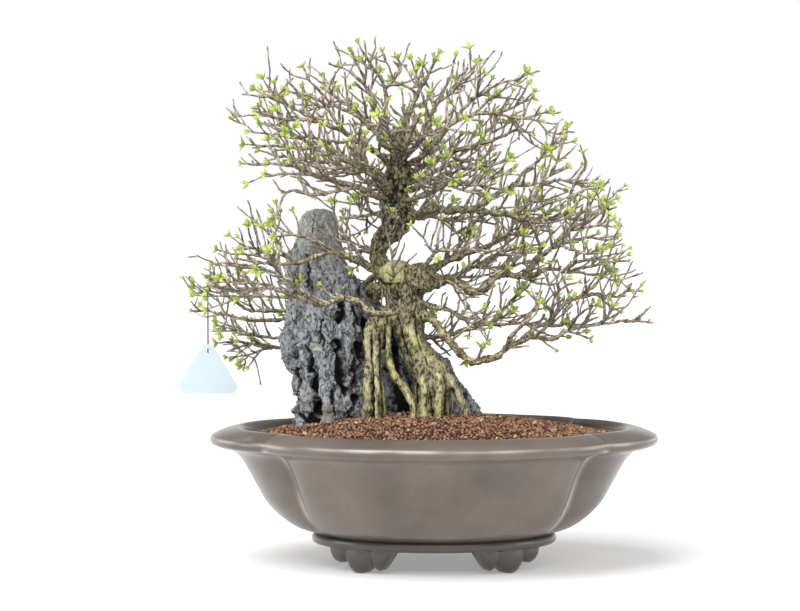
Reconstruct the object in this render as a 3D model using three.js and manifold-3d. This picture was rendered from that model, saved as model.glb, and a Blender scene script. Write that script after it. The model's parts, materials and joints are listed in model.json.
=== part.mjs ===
// A premna bonsai: a small tree whose roots clasp a dark upright stone, with budding twigs, in an oval
// lobed clay pot on four cloud feet. A blank triangular hang tag swings from a twig on its wire hook.
// Millimetres, +Z up, +Y to the back. The pot's own centre is x = 0, y = 0 while the pieces are made,
// and the finished group is moved so that the origin is the middle of the whole footprint, on the ground.
import * as THREE from "three";
import Module from "manifold-3d";
import { mergeVertices } from "three/addons/utils/BufferGeometryUtils.js";

const wasm = await Module();
wasm.setup();

// Driving dimensions
const gap = 0.3; // clearance kept between pieces that touch
const rim = { halfWidth: 171, halfDepth: 128, tipZ: 98.5, topZ: 106 };
const foot = { halfWidth: 93.5, halfDepth: 70, bottomZ: 17.5 };
const notch = { angle: 42, depth: 0.062, reach: 10, softAngle: 63, softDepth: 0.018, softReach: 6 };
const creaseLean = { atRim: 3.5, perMm: 0.0986 }; // degrees by which creases stand nearer the ends
const drain = { x: 52, radius: 11, bore: 30, screen: 34, thick: 1.2, cells: 2, bar: 4 };
const soil = { edgeZ: 99, crownZ: 116, crownX: -12, inset: 1.0 };
const wire = { radius: 0.5, x: -171.5, drop: 42, eye: 1.6, play: 0.1 };
const tag = { width: 48, height: 41, corner: 5, thick: 1.0, hole: 1.6 };
const twigRule = {
  seed: 4711, spacing: 38, keep: 0.5, shortest: 9, longest: 20, bentFrom: 15, radius: 0.9, tipRadius: 0.7,
  thickest: 2.6, tries: 4, lowest: 136, offStone: 5,
};
const bud = { reach: 3.4, rise: 3.4, waist: 1.0, waistRise: 0.8, eye: 1.4 };
const clear = 0.8; // least air between twigs
const bend = 2.1; // a limb keeps each point that lies further than this off the straight

// Solids

function solidOf(geometry) {
  geometry.deleteAttribute("normal");
  geometry.deleteAttribute("uv");
  const merged = mergeVertices(geometry, 1e-4);
  const made = new wasm.Manifold(
    new wasm.Mesh({
      numProp: 3,
      vertProperties: new Float32Array(merged.attributes.position.array),
      triVerts: new Uint32Array(merged.index.array),
    }),
  );
  if (made.volume() > 0) return made;
  throw new Error("a solid came out empty or inside out");
}

// A closed solid through rings of points. A ring of one point is a pole, a ring may have twice the points
// of the one before it, and an open end gets a flat cap.
function loft(rings) {
  const corners = [];
  const face = (a, b, c) => corners.push(...a, ...b, ...c);
  for (let i = 0; i + 1 < rings.length; i++) {
    const low = rings[i];
    const high = rings[i + 1];
    if (low.length > 1 && high.length === 2 * low.length) {
      for (let j = 0; j < low.length; j++) {
        const k = (j + 1) % low.length;
        face(low[j], low[k], high[2 * j + 1]);
        face(low[j], high[2 * j + 1], high[2 * j]);
        face(low[k], high[(2 * j + 2) % high.length], high[2 * j + 1]);
      }
      continue;
    }
    const count = Math.max(low.length, high.length);
    for (let j = 0; j < count; j++) {
      const k = (j + 1) % count;
      if (low.length > 1) face(low[j], low[k], high.length > 1 ? high[k] : high[0]);
      if (high.length > 1) face(low.length > 1 ? low[j] : low[0], high[k], high[j]);
    }
  }
  const first = rings[0];
  const last = rings[rings.length - 1];
  for (let j = 1; j + 1 < first.length; j++) face(first[0], first[j + 1], first[j]);
  for (let j = 1; j + 1 < last.length; j++) face(last[0], last[j], last[j + 1]);
  const geometry = new THREE.BufferGeometry();
  geometry.setAttribute("position", new THREE.Float32BufferAttribute(corners, 3));
  return solidOf(geometry);
}

// A round, tapering tube along points [x, y, z, radius], grown outwards by extra. With a bud, its tip
// opens into a cupped star of small leaves.
function tube(points, sides, extra = 0, budded = false) {
  const at = points.map((p) => new THREE.Vector3(p[0], p[1], p[2]));
  const rings = [];
  const last = at.length - 1;
  let side = null;
  for (let i = 0; i <= last; i++) {
    const along = at[Math.min(i + 1, last)].clone().sub(at[Math.max(i - 1, 0)]).normalize();
    if (!side) side = Math.abs(along.z) < 0.8 ? new THREE.Vector3(0, 0, 1) : new THREE.Vector3(1, 0, 0);
    side = side.clone().addScaledVector(along, -side.dot(along)).normalize();
    const other = new THREE.Vector3().crossVectors(along, side);
    const spot = (reach, turn, rise) => {
      const p = at[i].clone().addScaledVector(along, rise);
      p.addScaledVector(side, reach * Math.cos(turn)).addScaledVector(other, reach * Math.sin(turn));
      return [p.x, p.y, p.z];
    };
    const circle = (count, place) => {
      return Array.from({ length: count }, (_, j) => place((2 * Math.PI * j) / count, j));
    };
    rings.push(circle(sides, (turn) => spot(points[i][3] + extra, turn, 0)));
    if (budded && i === last) {
      rings.push(circle(2 * sides, (turn, j) => {
        return j % 2 ? spot(bud.waist, turn, bud.waistRise) : spot(bud.reach, turn, bud.rise);
      }));
      rings.push([spot(0, 0, bud.eye)]);
    }
  }
  return loft(rings);
}

function ball(centre, radii, detail) {
  const geometry = new THREE.IcosahedronGeometry(1, detail);
  geometry.scale(...radii);
  geometry.translate(...centre);
  return solidOf(geometry);
}

function box(low, high) {
  const size = high.map((v, i) => v - low[i]);
  const geometry = new THREE.BoxGeometry(...size);
  geometry.translate(...low.map((v, i) => v + size[i] / 2));
  return solidOf(geometry);
}

const union = (solids) => wasm.Manifold.union(solids);

function largest(solid) {
  return solid.decompose().sort((a, b) => b.volume() - a.volume())[0];
}

// Pot

const degrees = Math.PI / 180;
const quadrant = [12, 24, 34, 42, 50, 57, 63, 70, 80]; // degrees, closer together round the creases
const halfTurn = [0, ...quadrant, 90, ...quadrant.map((angle) => 180 - angle).reverse()];
const potAngles = [...halfTurn, ...halfTurn.map((angle) => angle + 180)];

// How far the lobed outline is pulled in at an angle: sharp creases, and softer ones beside the long sides.
function pull(angle, strength) {
  const folded = Math.abs(((((angle + 90) % 180) + 180) % 180) - 90);
  const sharp = notch.depth * Math.exp(-Math.abs(folded - notch.angle) / notch.reach);
  const soft = notch.softDepth * Math.exp(-(((folded - notch.softAngle) / notch.softReach) ** 2));
  return 1 - strength * (sharp + soft);
}

// The half depth that goes with a half width, from the foot ring to the rim.
function depthFor(halfWidth) {
  if (halfWidth <= foot.halfWidth) return (halfWidth * foot.halfDepth) / foot.halfWidth;
  const share = (halfWidth - foot.halfWidth) / (rim.halfWidth - foot.halfWidth);
  return foot.halfDepth + share * (rim.halfDepth - foot.halfDepth);
}

// The angle where a point of the lobed outline stands, once its crease has leaned towards the pot's end.
function leant(angle, halfWidth) {
  const most = creaseLean.atRim + creaseLean.perMm * (rim.halfWidth - Math.max(halfWidth, foot.halfWidth));
  return angle - most * Math.sin(2 * angle * degrees);
}

function outline(halfWidth, z, strength) {
  return potAngles.map((angle) => {
    const reach = pull(angle, strength);
    const stands = leant(angle, halfWidth) * degrees;
    return [halfWidth * Math.cos(stands) * reach, depthFor(halfWidth) * Math.sin(stands) * reach, z];
  });
}

// Half width, height and lobe strength of each ring, from the middle of the underside over the rim
// and down to the middle of the inner floor.
const bedTop = 33;
const innerWall = [[144, 99, 1], [124, 52, 1], [94, bedTop, 1]];
const potProfile = [
  [90, foot.bottomZ, 0], [foot.halfWidth, 21.5, 0], [88.5, 26, 0], [99, 27.6, 0.5], [116.4, 35.4, 0.9],
  [130, 50, 1.2], [139.5, 67, 1.3], [146, 79, 1.3], [154, 88.5, 1.2], [165, 93.5, 0.9],
  [rim.halfWidth, rim.tipZ, 0.8], [166, 104, 0.8], [149, rim.topZ, 0.9], ...innerWall,
];

function cloudFoot(signX, signY) {
  const reach = 42; // degrees of the oval that each foot follows, and the middle of them
  const middle = 50.5;
  const inset = 4; // from the band's edge to the face between two lobes
  const back = 14;
  const top = 20.5;
  const along = [-1, -0.8, -0.62, -0.46, -0.3, -0.22, 0.22, 0.3, 0.46, 0.62, 0.8, 1];
  const bottom = [15, 7, 3, 2.5, 4, 0, 0, 4, 2.5, 3, 7, 15];
  const swell = [0, 1.6, 2.6, 2.6, 0.4, 2.6, 2.6, 0.4, 2.6, 2.6, 1.6, 0];
  const rings = along.map((u, i) => {
    const angle = (middle + (u * reach) / 2) * degrees;
    const corner = (inwards, z) => [
      signX * (foot.halfWidth - inset - inwards) * Math.cos(angle),
      signY * (foot.halfDepth - inset - inwards) * Math.sin(angle),
      z,
    ];
    const low = bottom[i];
    const sole = [corner(-swell[i], low + 1.5), corner(1.5, low), corner(back - 2, low)];
    return [...sole, corner(back, top), corner(-swell[i], top)];
  });
  return loft(signX * signY < 0 ? rings.map((r) => [...r].reverse()) : rings);
}

function makePot() {
  const bowl = loft([[[0, 0, 20]], ...potProfile.map((p) => outline(...p)), [[0, 0, bedTop]]]);
  const feet = [[-1, -1], [1, -1], [1, 1], [-1, 1]].map(([x, y]) => cloudFoot(x, y));
  const holes = [-1, 1].map((side) => {
    const hole = new THREE.CylinderGeometry(drain.radius, drain.radius, drain.bore, 16).rotateX(Math.PI / 2);
    return solidOf(hole.translate(side * drain.x, 0, 25));
  });
  return largest(union([bowl, ...feet]).subtract(union(holes)));
}

// A square of coarse plastic mesh over each drain hole.
function makeScreen(side) {
  const half = drain.screen / 2;
  const low = [side * drain.x - half, -half, bedTop + gap];
  const high = [side * drain.x + half, half, bedTop + gap + drain.thick];
  const pitch = (drain.screen - drain.bar) / drain.cells;
  const holes = [];
  for (let i = 0; i < drain.cells; i++) {
    for (let j = 0; j < drain.cells; j++) {
      const x = low[0] + drain.bar + i * pitch;
      const y = low[1] + drain.bar + j * pitch;
      holes.push(box([x, y, low[2] - 1], [x + pitch - drain.bar, y + pitch - drain.bar, high[2] + 1]));
    }
  }
  return box(low, high).subtract(union(holes));
}

// Stone: a spire on the left and a ridge that slopes down behind the trunk, each a stack of ovals
// [z, left, right, middle y, half depth], wrinkled by a formula and joined in one solid.
const spireLevels = [
  [92, -107, -52, 8, 25], [112, -107, -52, 8, 26], [132, -107, -52, 8, 26], [150, -109, -53, 9, 26],
  [166, -117, -55, 9, 27], [180, -114, -56, 9, 26], [196, -111, -58, 10, 25], [212, -112, -60, 10, 24],
  [226, -112, -65, 10, 22], [237, -109, -71, 10, 20], [250, -104, -72, 10, 18], [262, -102, -76, 9, 15],
  [269, -99, -80, 9, 11],
];
const ridgeLevels = [
  [92, -62, 44, 26, 22], [113, -62, 38, 26, 21], [128, -62, 27, 26, 19], [145, -62, 15, 26, 17],
  [163, -64, 0, 26, 15], [185, -66, -24, 25, 13], [210, -72, -50, 22, 10], [226, -80, -64, 18, 7],
];
const stoneSides = 20;
const bedStep = 12; // height of one course of facets

// Sharp valleys that lean round the rock, and beds across it.
function wrinkle(angle, z, size) {
  const valley = (count, lean, start) => Math.abs(Math.sin((count * angle) / 2 + z * lean + start)) - 0.64;
  const flutes = 0.13 * valley(5, 0.011, 0.5) + 0.07 * valley(9, -0.02, 1.9);
  return size * (flutes + 0.05 * valley(2, 0.17, 0.3) + 0.03 * Math.sin(3 * angle + z * 0.31));
}

function stoneLevel(levels, z) {
  let i = 0;
  while (i + 2 < levels.length && levels[i + 1][0] < z) i++;
  const share = (z - levels[i][0]) / (levels[i + 1][0] - levels[i][0]);
  return levels[i].map((v, k) => v + share * (levels[i + 1][k] - v));
}

function stoneStack(levels, extra) {
  const bottom = levels[0][0];
  const top = levels[levels.length - 1][0];
  const courses = Math.round((top - bottom) / bedStep);
  const rings = [];
  for (let i = 0; i <= courses; i++) {
    const [z, left, right, y, halfDepth] = stoneLevel(levels, bottom + ((top - bottom) * i) / courses);
    const ring = [];
    for (let j = 0; j < stoneSides; j++) {
      const angle = (2 * Math.PI * j) / stoneSides;
      const bulge = wrinkle(angle, z, halfDepth + 8) + extra;
      const x = (left + right) / 2 + ((right - left) / 2 + bulge) * Math.cos(angle);
      ring.push([x, y + (halfDepth + bulge) * Math.sin(angle), z]);
    }
    rings.push(ring);
  }
  const pole = (level, rise) => [[(level[1] + level[2]) / 2, level[3], level[0] + rise]];
  return loft([pole(levels[0], -4 - extra), ...rings, pole(levels[levels.length - 1], 3 + extra)]);
}

const stoneSolid = (extra = 0) => union([stoneStack(spireLevels, extra), stoneStack(ridgeLevels, extra)]);

function insideStone(x, y, z, margin) {
  return [spireLevels, ridgeLevels].some((levels) => {
    if (z > levels[levels.length - 1][0] + margin) return false;
    const [, left, right, middle, halfDepth] = stoneLevel(levels, Math.max(z, levels[0][0]));
    const wide = (x - (left + right) / 2) / ((right - left) / 2 + margin);
    return wide ** 2 + ((y - middle) / (halfDepth + margin)) ** 2 < 1;
  });
}

// Trunk and surface roots, as points [x, y, z, radius]

const trunkLine = [
  [-2, -6, 100, 15], [-1, -6, 118, 15], [-3, -7, 145, 14], [-10, -7, 156, 13], [-16, -6, 166, 11.5],
  [-19, -4, 180, 12], [-22, -3, 195, 14], [-24, -2, 210, 14.5], [-33, 2, 220, 10.5], [-41, 6, 229, 7],
  [-43, 8, 240, 6.5], [-38, 6, 248, 7.5], [-31, 2, 256, 10], [-29, 0, 268, 11], [-30, 0, 282, 10.5],
  [-29, 0, 296, 9], [-27, 0, 308, 7], [-26, 0, 320, 4.6], [-25, 0, 330, 3],
];
const rootLines = [
  [[1, -14, 153, 5], [4, -19, 140, 4], [3.5, -21, 125, 3.7], [2, -22, 102, 3.2]],
  [[5, -8, 153, 5], [14, -11, 138, 3.5], [21, -13, 125, 3.2], [28, -14, 102, 3]],
  [[-10, -12, 150, 5], [-8, -17, 135, 4.5], [-8, -19, 120, 4.3], [-9, -20, 102, 4]],
  [[-20, -6, 193, 10], [-34, -10, 190, 8.5], [-43, -13, 184, 8.5], [-46, -14, 172, 7.5], [-45, -14, 158, 6],
    [-42, -13, 140, 3.8], [-39, -11, 122, 3.3], [-38, -10, 102, 3]],
  [[-49, -14, 182, 4.5], [-50, -17, 166, 3.6], [-46.5, -19, 152, 3.4], [-44, -20, 138, 3.3],
    [-43.5, -20, 122, 3.2], [-43, -20, 102, 3]],
  [[-50, -14, 170, 3], [-50, -17, 152, 3.6], [-50.5, -18, 138, 4], [-49.5, -18, 122, 3.6], [-49, -18, 102, 3]],
  [[-50, -18, 127, 2.6], [-54, -20, 115, 2.3], [-58, -21, 101, 2]],
  [[-36, -12, 186, 4.5], [-35.5, -15, 170, 3.3], [-33.5, -17, 155, 3.2], [-29, -19, 144, 3.4],
    [-21, -21, 134, 3.6], [-16, -23, 122, 3.6], [-14, -24, 102, 3.2]],
];
const burls = [
  { centre: [-28, -8, 222], radii: [13, 11, 11.5] },
  { centre: [-11, -7, 219], radii: [13, 12, 12] },
];

const wood = (extra = 0) => union([
  tube(trunkLine, 9, extra),
  ...rootLines.map((line) => tube(line, 5, extra)),
  ...burls.map((b) => ball(b.centre, b.radii.map((r) => r + extra), 1)),
]);

// Limbs. Each spray starts in the trunk with its first limb, and the others fork from that one.
// Points are x, y, z; r gives the radius at the base and at the tip.
const sprays = {
  left_low: [
    { r: [3.6, 1.1], p: [[-14, -9, 197], [-30, -22, 194], [-47, -29, 194], [-57, -31, 202],
      [-70, -32, 205], [-86, -33, 200], [-101, -32, 206], [-118, -30, 211], [-136, -27, 212],
      [-152, -24, 210], [-167, -22, 214]] },
    { r: [2, 0.9], p: [[-88, -33, 202], [-105, -37, 216], [-119, -38, 224], [-136, -38, 228],
      [-161, -35, 230]] },
    { r: [1.8, 0.9], p: [[-100, -32, 206], [-119, -22, 205], [-140, -18, 206], [-158, -16, 206],
      [-180, -14, 208]] },
    { r: [1.6, 0.9], p: [[-116, -30, 211], [-130, -36, 216], [-146, -38, 217], [-161, -37, 220],
      [-166, -37, 228]] },
    { r: [1.5, 0.8], p: [[-136, -27, 212], [-146, -30, 206], [-158, -32, 201], [-170, -32, 197]] },
  ],
  left_mid: [
    { r: [3.6, 1.1], p: [[-38, 2, 223], [-50, -7, 228], [-62, -16, 234], [-76, -22, 239],
      [-88, -25, 237], [-101, -26, 232], [-115, -25, 230], [-130, -23, 231], [-147, -21, 234]] },
    { r: [1.8, 0.8], p: [[-76, -22, 239], [-84, -27, 246], [-97, -29, 250], [-110, -29, 254],
      [-122, -28, 261]] },
    { r: [1.6, 0.8], p: [[-102, -26, 233], [-113, -24, 239], [-121, -22, 249], [-133, -20, 261]] },
    { r: [1.6, 0.8], p: [[-116, -25, 231], [-126, -18, 239], [-142, -15, 243], [-154, -14, 251]] },
    { r: [1.5, 0.8], p: [[-119, -25, 231], [-134, -29, 237], [-148, -30, 238], [-162, -29, 241]] },
    { r: [1.5, 0.8], p: [[-62, -16, 234], [-65, -18, 246], [-72, -18, 258], [-75, -17, 268],
      [-78, -16, 276]] },
  ],
  left_back: [
    { r: [3.4, 1], p: [[-24, 2, 210], [-34, 24, 222], [-44, 42, 220], [-60, 52, 207], [-80, 55, 195],
      [-106, 54, 187], [-126, 49, 184], [-146, 46, 185], [-166, 43, 190], [-186, 40, 192]] },
    { r: [2.4, 1], p: [[-92, 53, 189], [-112, 46, 191], [-128, 42, 192], [-144, 38, 193],
      [-158, 34, 203], [-170, 31, 215]] },
    { r: [2, 0.9], p: [[-84, 52, 191], [-102, 58, 175], [-120, 58, 170], [-138, 56, 172],
      [-154, 54, 176], [-168, 52, 180]] },
    { r: [2, 0.9], p: [[-96, 58, 178], [-112, 64, 164], [-128, 63, 162], [-142, 60, 165],
      [-155, 58, 167], [-168, 56, 166]] },
    { r: [1.5, 0.8], p: [[-126, 63, 162], [-140, 66, 158], [-152, 67, 155], [-161, 67, 154]] },
  ],
  right_low: [
    { r: [4.6, 1], p: [[-14, -8, 190], [-3, -12, 190], [3, -14, 182], [11, -15, 173], [20, -16, 163],
      [28, -16, 156], [38, -15, 158], [47, -13, 160], [54, -11, 166], [63, -9, 170], [74, -7, 174],
      [90, -5, 173], [102, -3, 179], [126, 0, 183], [146, 2, 185], [168, 4, 184]] },
    { r: [2.4, 0.9], p: [[53, -11, 166], [59, -16, 177], [68, -19, 187], [76, -20, 193],
      [78, -21, 200]] },
    { r: [2.8, 1], p: [[68, -8, 172], [76, -4, 180], [88, -1, 186], [96, 1, 196], [110, 5, 203],
      [121, 9, 210], [130, 12, 217], [138, 14, 222]] },
    { r: [1.7, 0.8], p: [[89, -2, 187], [90, -7, 198], [93, -9, 208], [101, -10, 214],
      [108, -10, 216]] },
    { r: [1.6, 0.8], p: [[102, -3, 179], [107, -9, 188], [114, -12, 196], [122, -13, 199]] },
    { r: [1.4, 0.8], p: [[128, 0, 183], [132, -4, 190], [135, -6, 197]] },
    { r: [1.4, 0.8], p: [[114, 4, 205], [128, 8, 206], [142, 10, 203], [150, 11, 208]] },
  ],
  right_low_back: [
    { r: [2.6, 0.9], p: [[-12, 2, 172], [-4, 10, 173], [12, 16, 174], [32, 20, 180], [48, 22, 182],
      [60, 23, 183], [72, 24, 190], [84, 25, 194]] },
    { r: [1.7, 0.8], p: [[44, 22, 182], [52, 27, 190], [61, 30, 198], [70, 32, 208]] },
    { r: [1.6, 0.8], p: [[60, 23, 183], [76, 32, 181], [92, 38, 180], [108, 42, 183]] },
  ],
  right_mid: [
    { r: [5.6, 1], p: [[-10, -3, 214], [4, -5, 217], [12, -7, 219], [21, -9, 214], [30, -9, 209],
      [38, -8, 212], [46, -6, 220], [54, -5, 223], [64, -4, 220], [76, -3, 222], [88, -2, 226],
      [100, 0, 224], [118, 0, 222], [137, -3, 217]] },
    { r: [3.2, 1], p: [[68, -4, 222], [76, -8, 232], [86, -11, 241], [95, -13, 250], [102, -14, 258],
      [114, -14, 262], [128, -13, 271]] },
    { r: [2, 0.9], p: [[87, -11, 242], [100, -5, 246], [114, -2, 249], [128, 0, 250], [138, 1, 251]] },
    { r: [1.8, 0.8], p: [[92, -12, 246], [101, -21, 242], [112, -25, 239], [122, -26, 241],
      [128, -26, 245]] },
    { r: [1.7, 0.8], p: [[100, -14, 256], [112, -20, 258], [124, -22, 261], [132, -22, 264]] },
    { r: [1.8, 0.8], p: [[98, 0, 224], [108, -6, 231], [120, -9, 234], [134, -10, 235],
      [145, -10, 241]] },
    { r: [1.6, 0.8], p: [[106, 1, 223], [118, 7, 227], [130, 10, 229], [141, 12, 232],
      [149, 13, 235]] },
    { r: [1.5, 0.8], p: [[66, -4, 220], [76, -10, 216], [86, -14, 215], [98, -16, 219]] },
    { r: [1.6, 0.8], p: [[54, -5, 224], [60, -12, 231], [67, -16, 238], [72, -18, 241]] },
  ],
  right_mid_back: [
    { r: [4, 1], p: [[-10, 2, 222], [4, 7, 228], [16, 11, 234], [28, 12, 238], [40, 11, 242],
      [50, 8, 249], [58, 6, 256], [61, 5, 268], [69, 3, 288]] },
    { r: [2.6, 0.9], p: [[14, 11, 233], [20, 18, 244], [27, 21, 254], [36, 23, 264], [44, 24, 268]] },
    { r: [1.7, 0.8], p: [[44, 10, 244], [56, 16, 249], [68, 19, 256], [80, 21, 262]] },
    { r: [1.6, 0.8], p: [[56, 7, 254], [68, -1, 252], [80, -3, 256], [89, -4, 262]] },
  ],
  right_back: [
    { r: [2.8, 0.9], p: [[-12, 4, 214], [2, 16, 217], [18, 26, 221], [32, 33, 227], [48, 40, 235],
      [64, 47, 240], [82, 52, 243]] },
    { r: [1.7, 0.8], p: [[32, 33, 227], [44, 44, 225], [58, 54, 226], [72, 62, 229]] },
    { r: [1.6, 0.8], p: [[48, 40, 235], [58, 38, 245], [68, 38, 254]] },
  ],
  front: [
    { r: [2.2, 0.8], p: [[-10, -12, 223], [-5, -22, 232], [2, -27, 240], [14, -29, 241], [32, -29, 241],
      [50, -27, 240], [62, -26, 243]] },
    { r: [1.3, 0.7], p: [[0, -26, 238], [-6, -29, 247], [-13, -30, 254], [-17, -29, 259]] },
  ],
  front_drooping: [
    { r: [1.5, 0.7], p: [[0, -10, 222], [9, -22, 219], [20, -28, 210], [27, -30, 197], [33, -30, 184],
      [39, -29, 174]] },
    { r: [1.1, 0.7], p: [[31, -30, 188], [38, -33, 190], [46, -34, 193]] },
  ],
  front_pale: [
    { r: [2.6, 0.9], p: [[-12, -10, 200], [0, -21, 198], [10, -25, 196], [19, -26, 190], [29, -26, 186],
      [37, -26, 187]] },
  ],
  front_thin: [
    { r: [1.3, 0.7], p: [[-30, -14, 216], [-31, -24, 226], [-33, -27, 242], [-36, -27, 256],
      [-33, -27, 269]] },
  ],
  right_upper: [
    { r: [4.2, 1], p: [[-26, -2, 262], [-12, -6, 268], [0, -9, 272], [14, -10, 271], [30, -10, 271],
      [44, -10, 269], [58, -9, 267], [70, -8, 264], [84, -7, 263.5], [99, -6, 268], [102, -6, 280],
      [107, -6, 292], [114, -5, 304], [113, -5, 313]] },
    { r: [2.4, 0.8], p: [[30, -10, 272], [40, -14, 278], [50, -16, 285], [60, -17, 291], [68, -16, 301],
      [78, -15, 308], [86, -14, 317], [95, -13, 327]] },
    { r: [1.8, 0.8], p: [[59, -17, 290], [71, -21, 290], [81, -22, 294], [88, -22, 299],
      [96, -21, 303]] },
    { r: [1.8, 0.8], p: [[60, -9, 267], [70, -3, 274], [77, 1, 283], [82, 3, 293], [83, 4, 300]] },
    { r: [1.8, 0.8], p: [[66, -8, 266], [76, -14, 272], [87, -17, 277], [100, -18, 281],
      [111, -18, 286], [122, -18, 288]] },
    { r: [1.5, 0.8], p: [[78, 2, 286], [92, 5, 293], [108, 6, 292], [124, 6, 291]] },
    { r: [1.6, 0.8], p: [[98, -6, 267], [107, -1, 264], [118, 3, 265], [127, 5, 271]] },
  ],
  crown_left_low: [
    { r: [3.4, 0.9], p: [[-30, -2, 276], [-44, -7, 282], [-58, -10, 288], [-72, -12, 292],
      [-87, -13, 296], [-100, -13, 301], [-114, -13, 305], [-144, -12, 306]] },
    { r: [1.8, 0.8], p: [[-58, -10, 287], [-74, -16, 285], [-91, -19, 282], [-108, -20, 285],
      [-115, -21, 277], [-120, -21, 264]] },
    { r: [1.7, 0.8], p: [[-84, -13, 295], [-98, -20, 298], [-114, -23, 298], [-128, -24, 296],
      [-138, -24, 292]] },
    { r: [1.6, 0.8], p: [[-100, -13, 301], [-109, -15, 311], [-112, -16, 324], [-114, -16, 338],
      [-117, -16, 352]] },
  ],
  crown_left_stub: [
    { r: [2.4, 0.9], p: [[-30, 0, 268], [-44, 6, 268], [-54, 9, 266], [-68, 11, 264]] },
    { r: [1.5, 0.8], p: [[-46, 6, 268], [-58, 3, 274], [-72, 1, 277]] },
  ],
  crown_left: [
    { r: [3.2, 0.9], p: [[-28, 2, 290], [-44, 5, 300], [-60, 7, 307], [-76, 9, 313], [-92, 10, 317],
      [-112, 10, 318], [-144, 9, 321]] },
    { r: [1.8, 0.8], p: [[-64, 8, 309], [-82, 16, 307], [-100, 20, 308], [-118, 21, 312],
      [-133, 21, 316]] },
    { r: [1.7, 0.8], p: [[-88, 10, 317], [-100, 4, 325], [-114, 1, 330], [-130, 0, 336]] },
  ],
  crown_left_up: [
    { r: [3.2, 0.9], p: [[-28, -1, 300], [-40, -6, 312], [-54, -9, 321], [-70, -11, 330],
      [-86, -12, 338], [-102, -12, 345], [-116, -12, 352], [-134, -12, 361]] },
    { r: [1.7, 0.8], p: [[-82, -12, 336], [-98, -19, 338], [-114, -22, 339], [-130, -22, 342],
      [-147, -21, 341]] },
    { r: [1.6, 0.8], p: [[-60, -10, 324], [-76, -20, 322], [-92, -26, 325], [-110, -29, 327],
      [-136, -29, 329]] },
    { r: [1.3, 0.8], p: [[-116, -12, 352], [-123, -8, 359], [-129, -6, 369]] },
    { r: [1.7, 0.8], p: [[-66, -11, 328], [-76, -16, 340], [-84, -18, 350], [-95, -19, 358],
      [-107, -19, 359]] },
  ],
  crown_top_left: [
    { r: [3, 0.9], p: [[-27, 2, 308], [-38, 8, 322], [-50, 12, 335], [-62, 14, 345], [-76, 14, 350],
      [-85, 13, 358], [-93, 12, 367], [-100, 12, 379]] },
    { r: [1.7, 0.8], p: [[-58, 14, 342], [-66, 20, 352], [-76, 23, 358], [-84, 24, 372]] },
    { r: [1.6, 0.8], p: [[-76, 14, 350], [-92, 20, 351], [-106, 22, 352]] },
  ],
  crown_apex: [
    { r: [2.8, 0.9], p: [[-26, -1, 316], [-34, -5, 330], [-41, -7, 342], [-47, -8, 355], [-53, -9, 366],
      [-62, -9, 374], [-71, -9, 379]] },
    { r: [2, 0.8], p: [[-36, -6, 334], [-37, -1, 349], [-37, 1, 362], [-43, 1, 374], [-49, 0, 383],
      [-46, 0, 392], [-45, 0, 401]] },
    { r: [1.5, 0.8], p: [[-37, 1, 363], [-30, 4, 370], [-25, 5, 378], [-27, 5, 385]] },
    { r: [1.4, 0.8], p: [[-49, 0, 383], [-53, -3, 389], [-57, -4, 396]] },
    { r: [1.4, 0.8], p: [[-53, -9, 366], [-51, -14, 374], [-54, -16, 383]] },
  ],
  crown_top: [
    { r: [2.8, 0.9], p: [[-25, 2, 322], [-21, 8, 336], [-17, 12, 349], [-12, 14, 361], [-6, 14, 371],
      [-1, 13, 381], [3, 13, 389]] },
    { r: [1.6, 0.8], p: [[-13, 14, 359], [-22, 18, 366], [-31, 20, 370]] },
    { r: [1.6, 0.8], p: [[-10, 14, 364], [-14, 9, 374], [-17, 7, 384]] },
  ],
  crown_top_right: [
    { r: [2.8, 0.9], p: [[-25, -1, 310], [-12, -9, 322], [-4, -12, 334], [0, -13, 347], [6, -14, 358],
      [11, -14, 369], [15, -14, 385]] },
    { r: [1.7, 0.8], p: [[3, -13, 352], [14, -18, 361], [22, -20, 370], [30, -20, 379]] },
    { r: [1.5, 0.8], p: [[-3, -12, 338], [-7, -18, 350], [-11, -21, 362], [-16, -22, 372]] },
  ],
  crown_right: [
    { r: [3, 0.9], p: [[-25, 1, 302], [-9, 1, 312], [3, 0, 324], [13, -1, 336], [28, -1, 343],
      [45, -2, 345], [60, -2, 349], [73, -2, 355]] },
    { r: [1.8, 0.8], p: [[14, -1, 337], [24, 5, 349], [33, 8, 360], [34, 9, 371], [33, 9, 382]] },
    { r: [1.6, 0.8], p: [[28, 6, 355], [42, 2, 362], [52, 0, 368], [61, 0, 369]] },
    { r: [1.6, 0.8], p: [[44, -2, 345], [58, -8, 341], [72, -10, 341], [85, -10, 345]] },
  ],
  crown_right_low: [
    { r: [3, 0.9], p: [[-26, 2, 294], [-10, 7, 303], [4, 10, 311], [20, 11, 317], [36, 11, 321],
      [48, 10, 325], [61, 9, 331], [74, 8, 330]] },
    { r: [1.7, 0.8], p: [[34, 11, 321], [41, 16, 331], [50, 19, 337], [62, 20, 338]] },
    { r: [1.6, 0.8], p: [[8, 10, 312], [20, 18, 309], [34, 22, 308], [46, 24, 305], [58, 25, 309]] },
  ],
  crown_right_under: [
    { r: [2.8, 0.9], p: [[-27, -1, 282], [-12, -5, 289], [0, -8, 294], [14, -9, 294], [28, -8, 291],
      [42, -7, 288], [54, -6, 286]] },
    { r: [1.6, 0.8], p: [[8, -9, 294], [18, -15, 301], [30, -19, 305], [44, -21, 305],
      [54, -21, 310]] },
    { r: [1.6, 0.8], p: [[0, -8, 294], [8, -16, 290], [20, -22, 286], [36, -25, 284]] },
  ],
  crown_front: [
    { r: [2.8, 0.9], p: [[-27, -2, 306], [-24, -20, 313], [-20, -38, 322], [-16, -56, 332],
      [-12, -72, 340]] },
    { r: [1.8, 0.8], p: [[-22, -30, 318], [-32, -44, 328], [-42, -56, 340], [-48, -64, 350]] },
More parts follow.
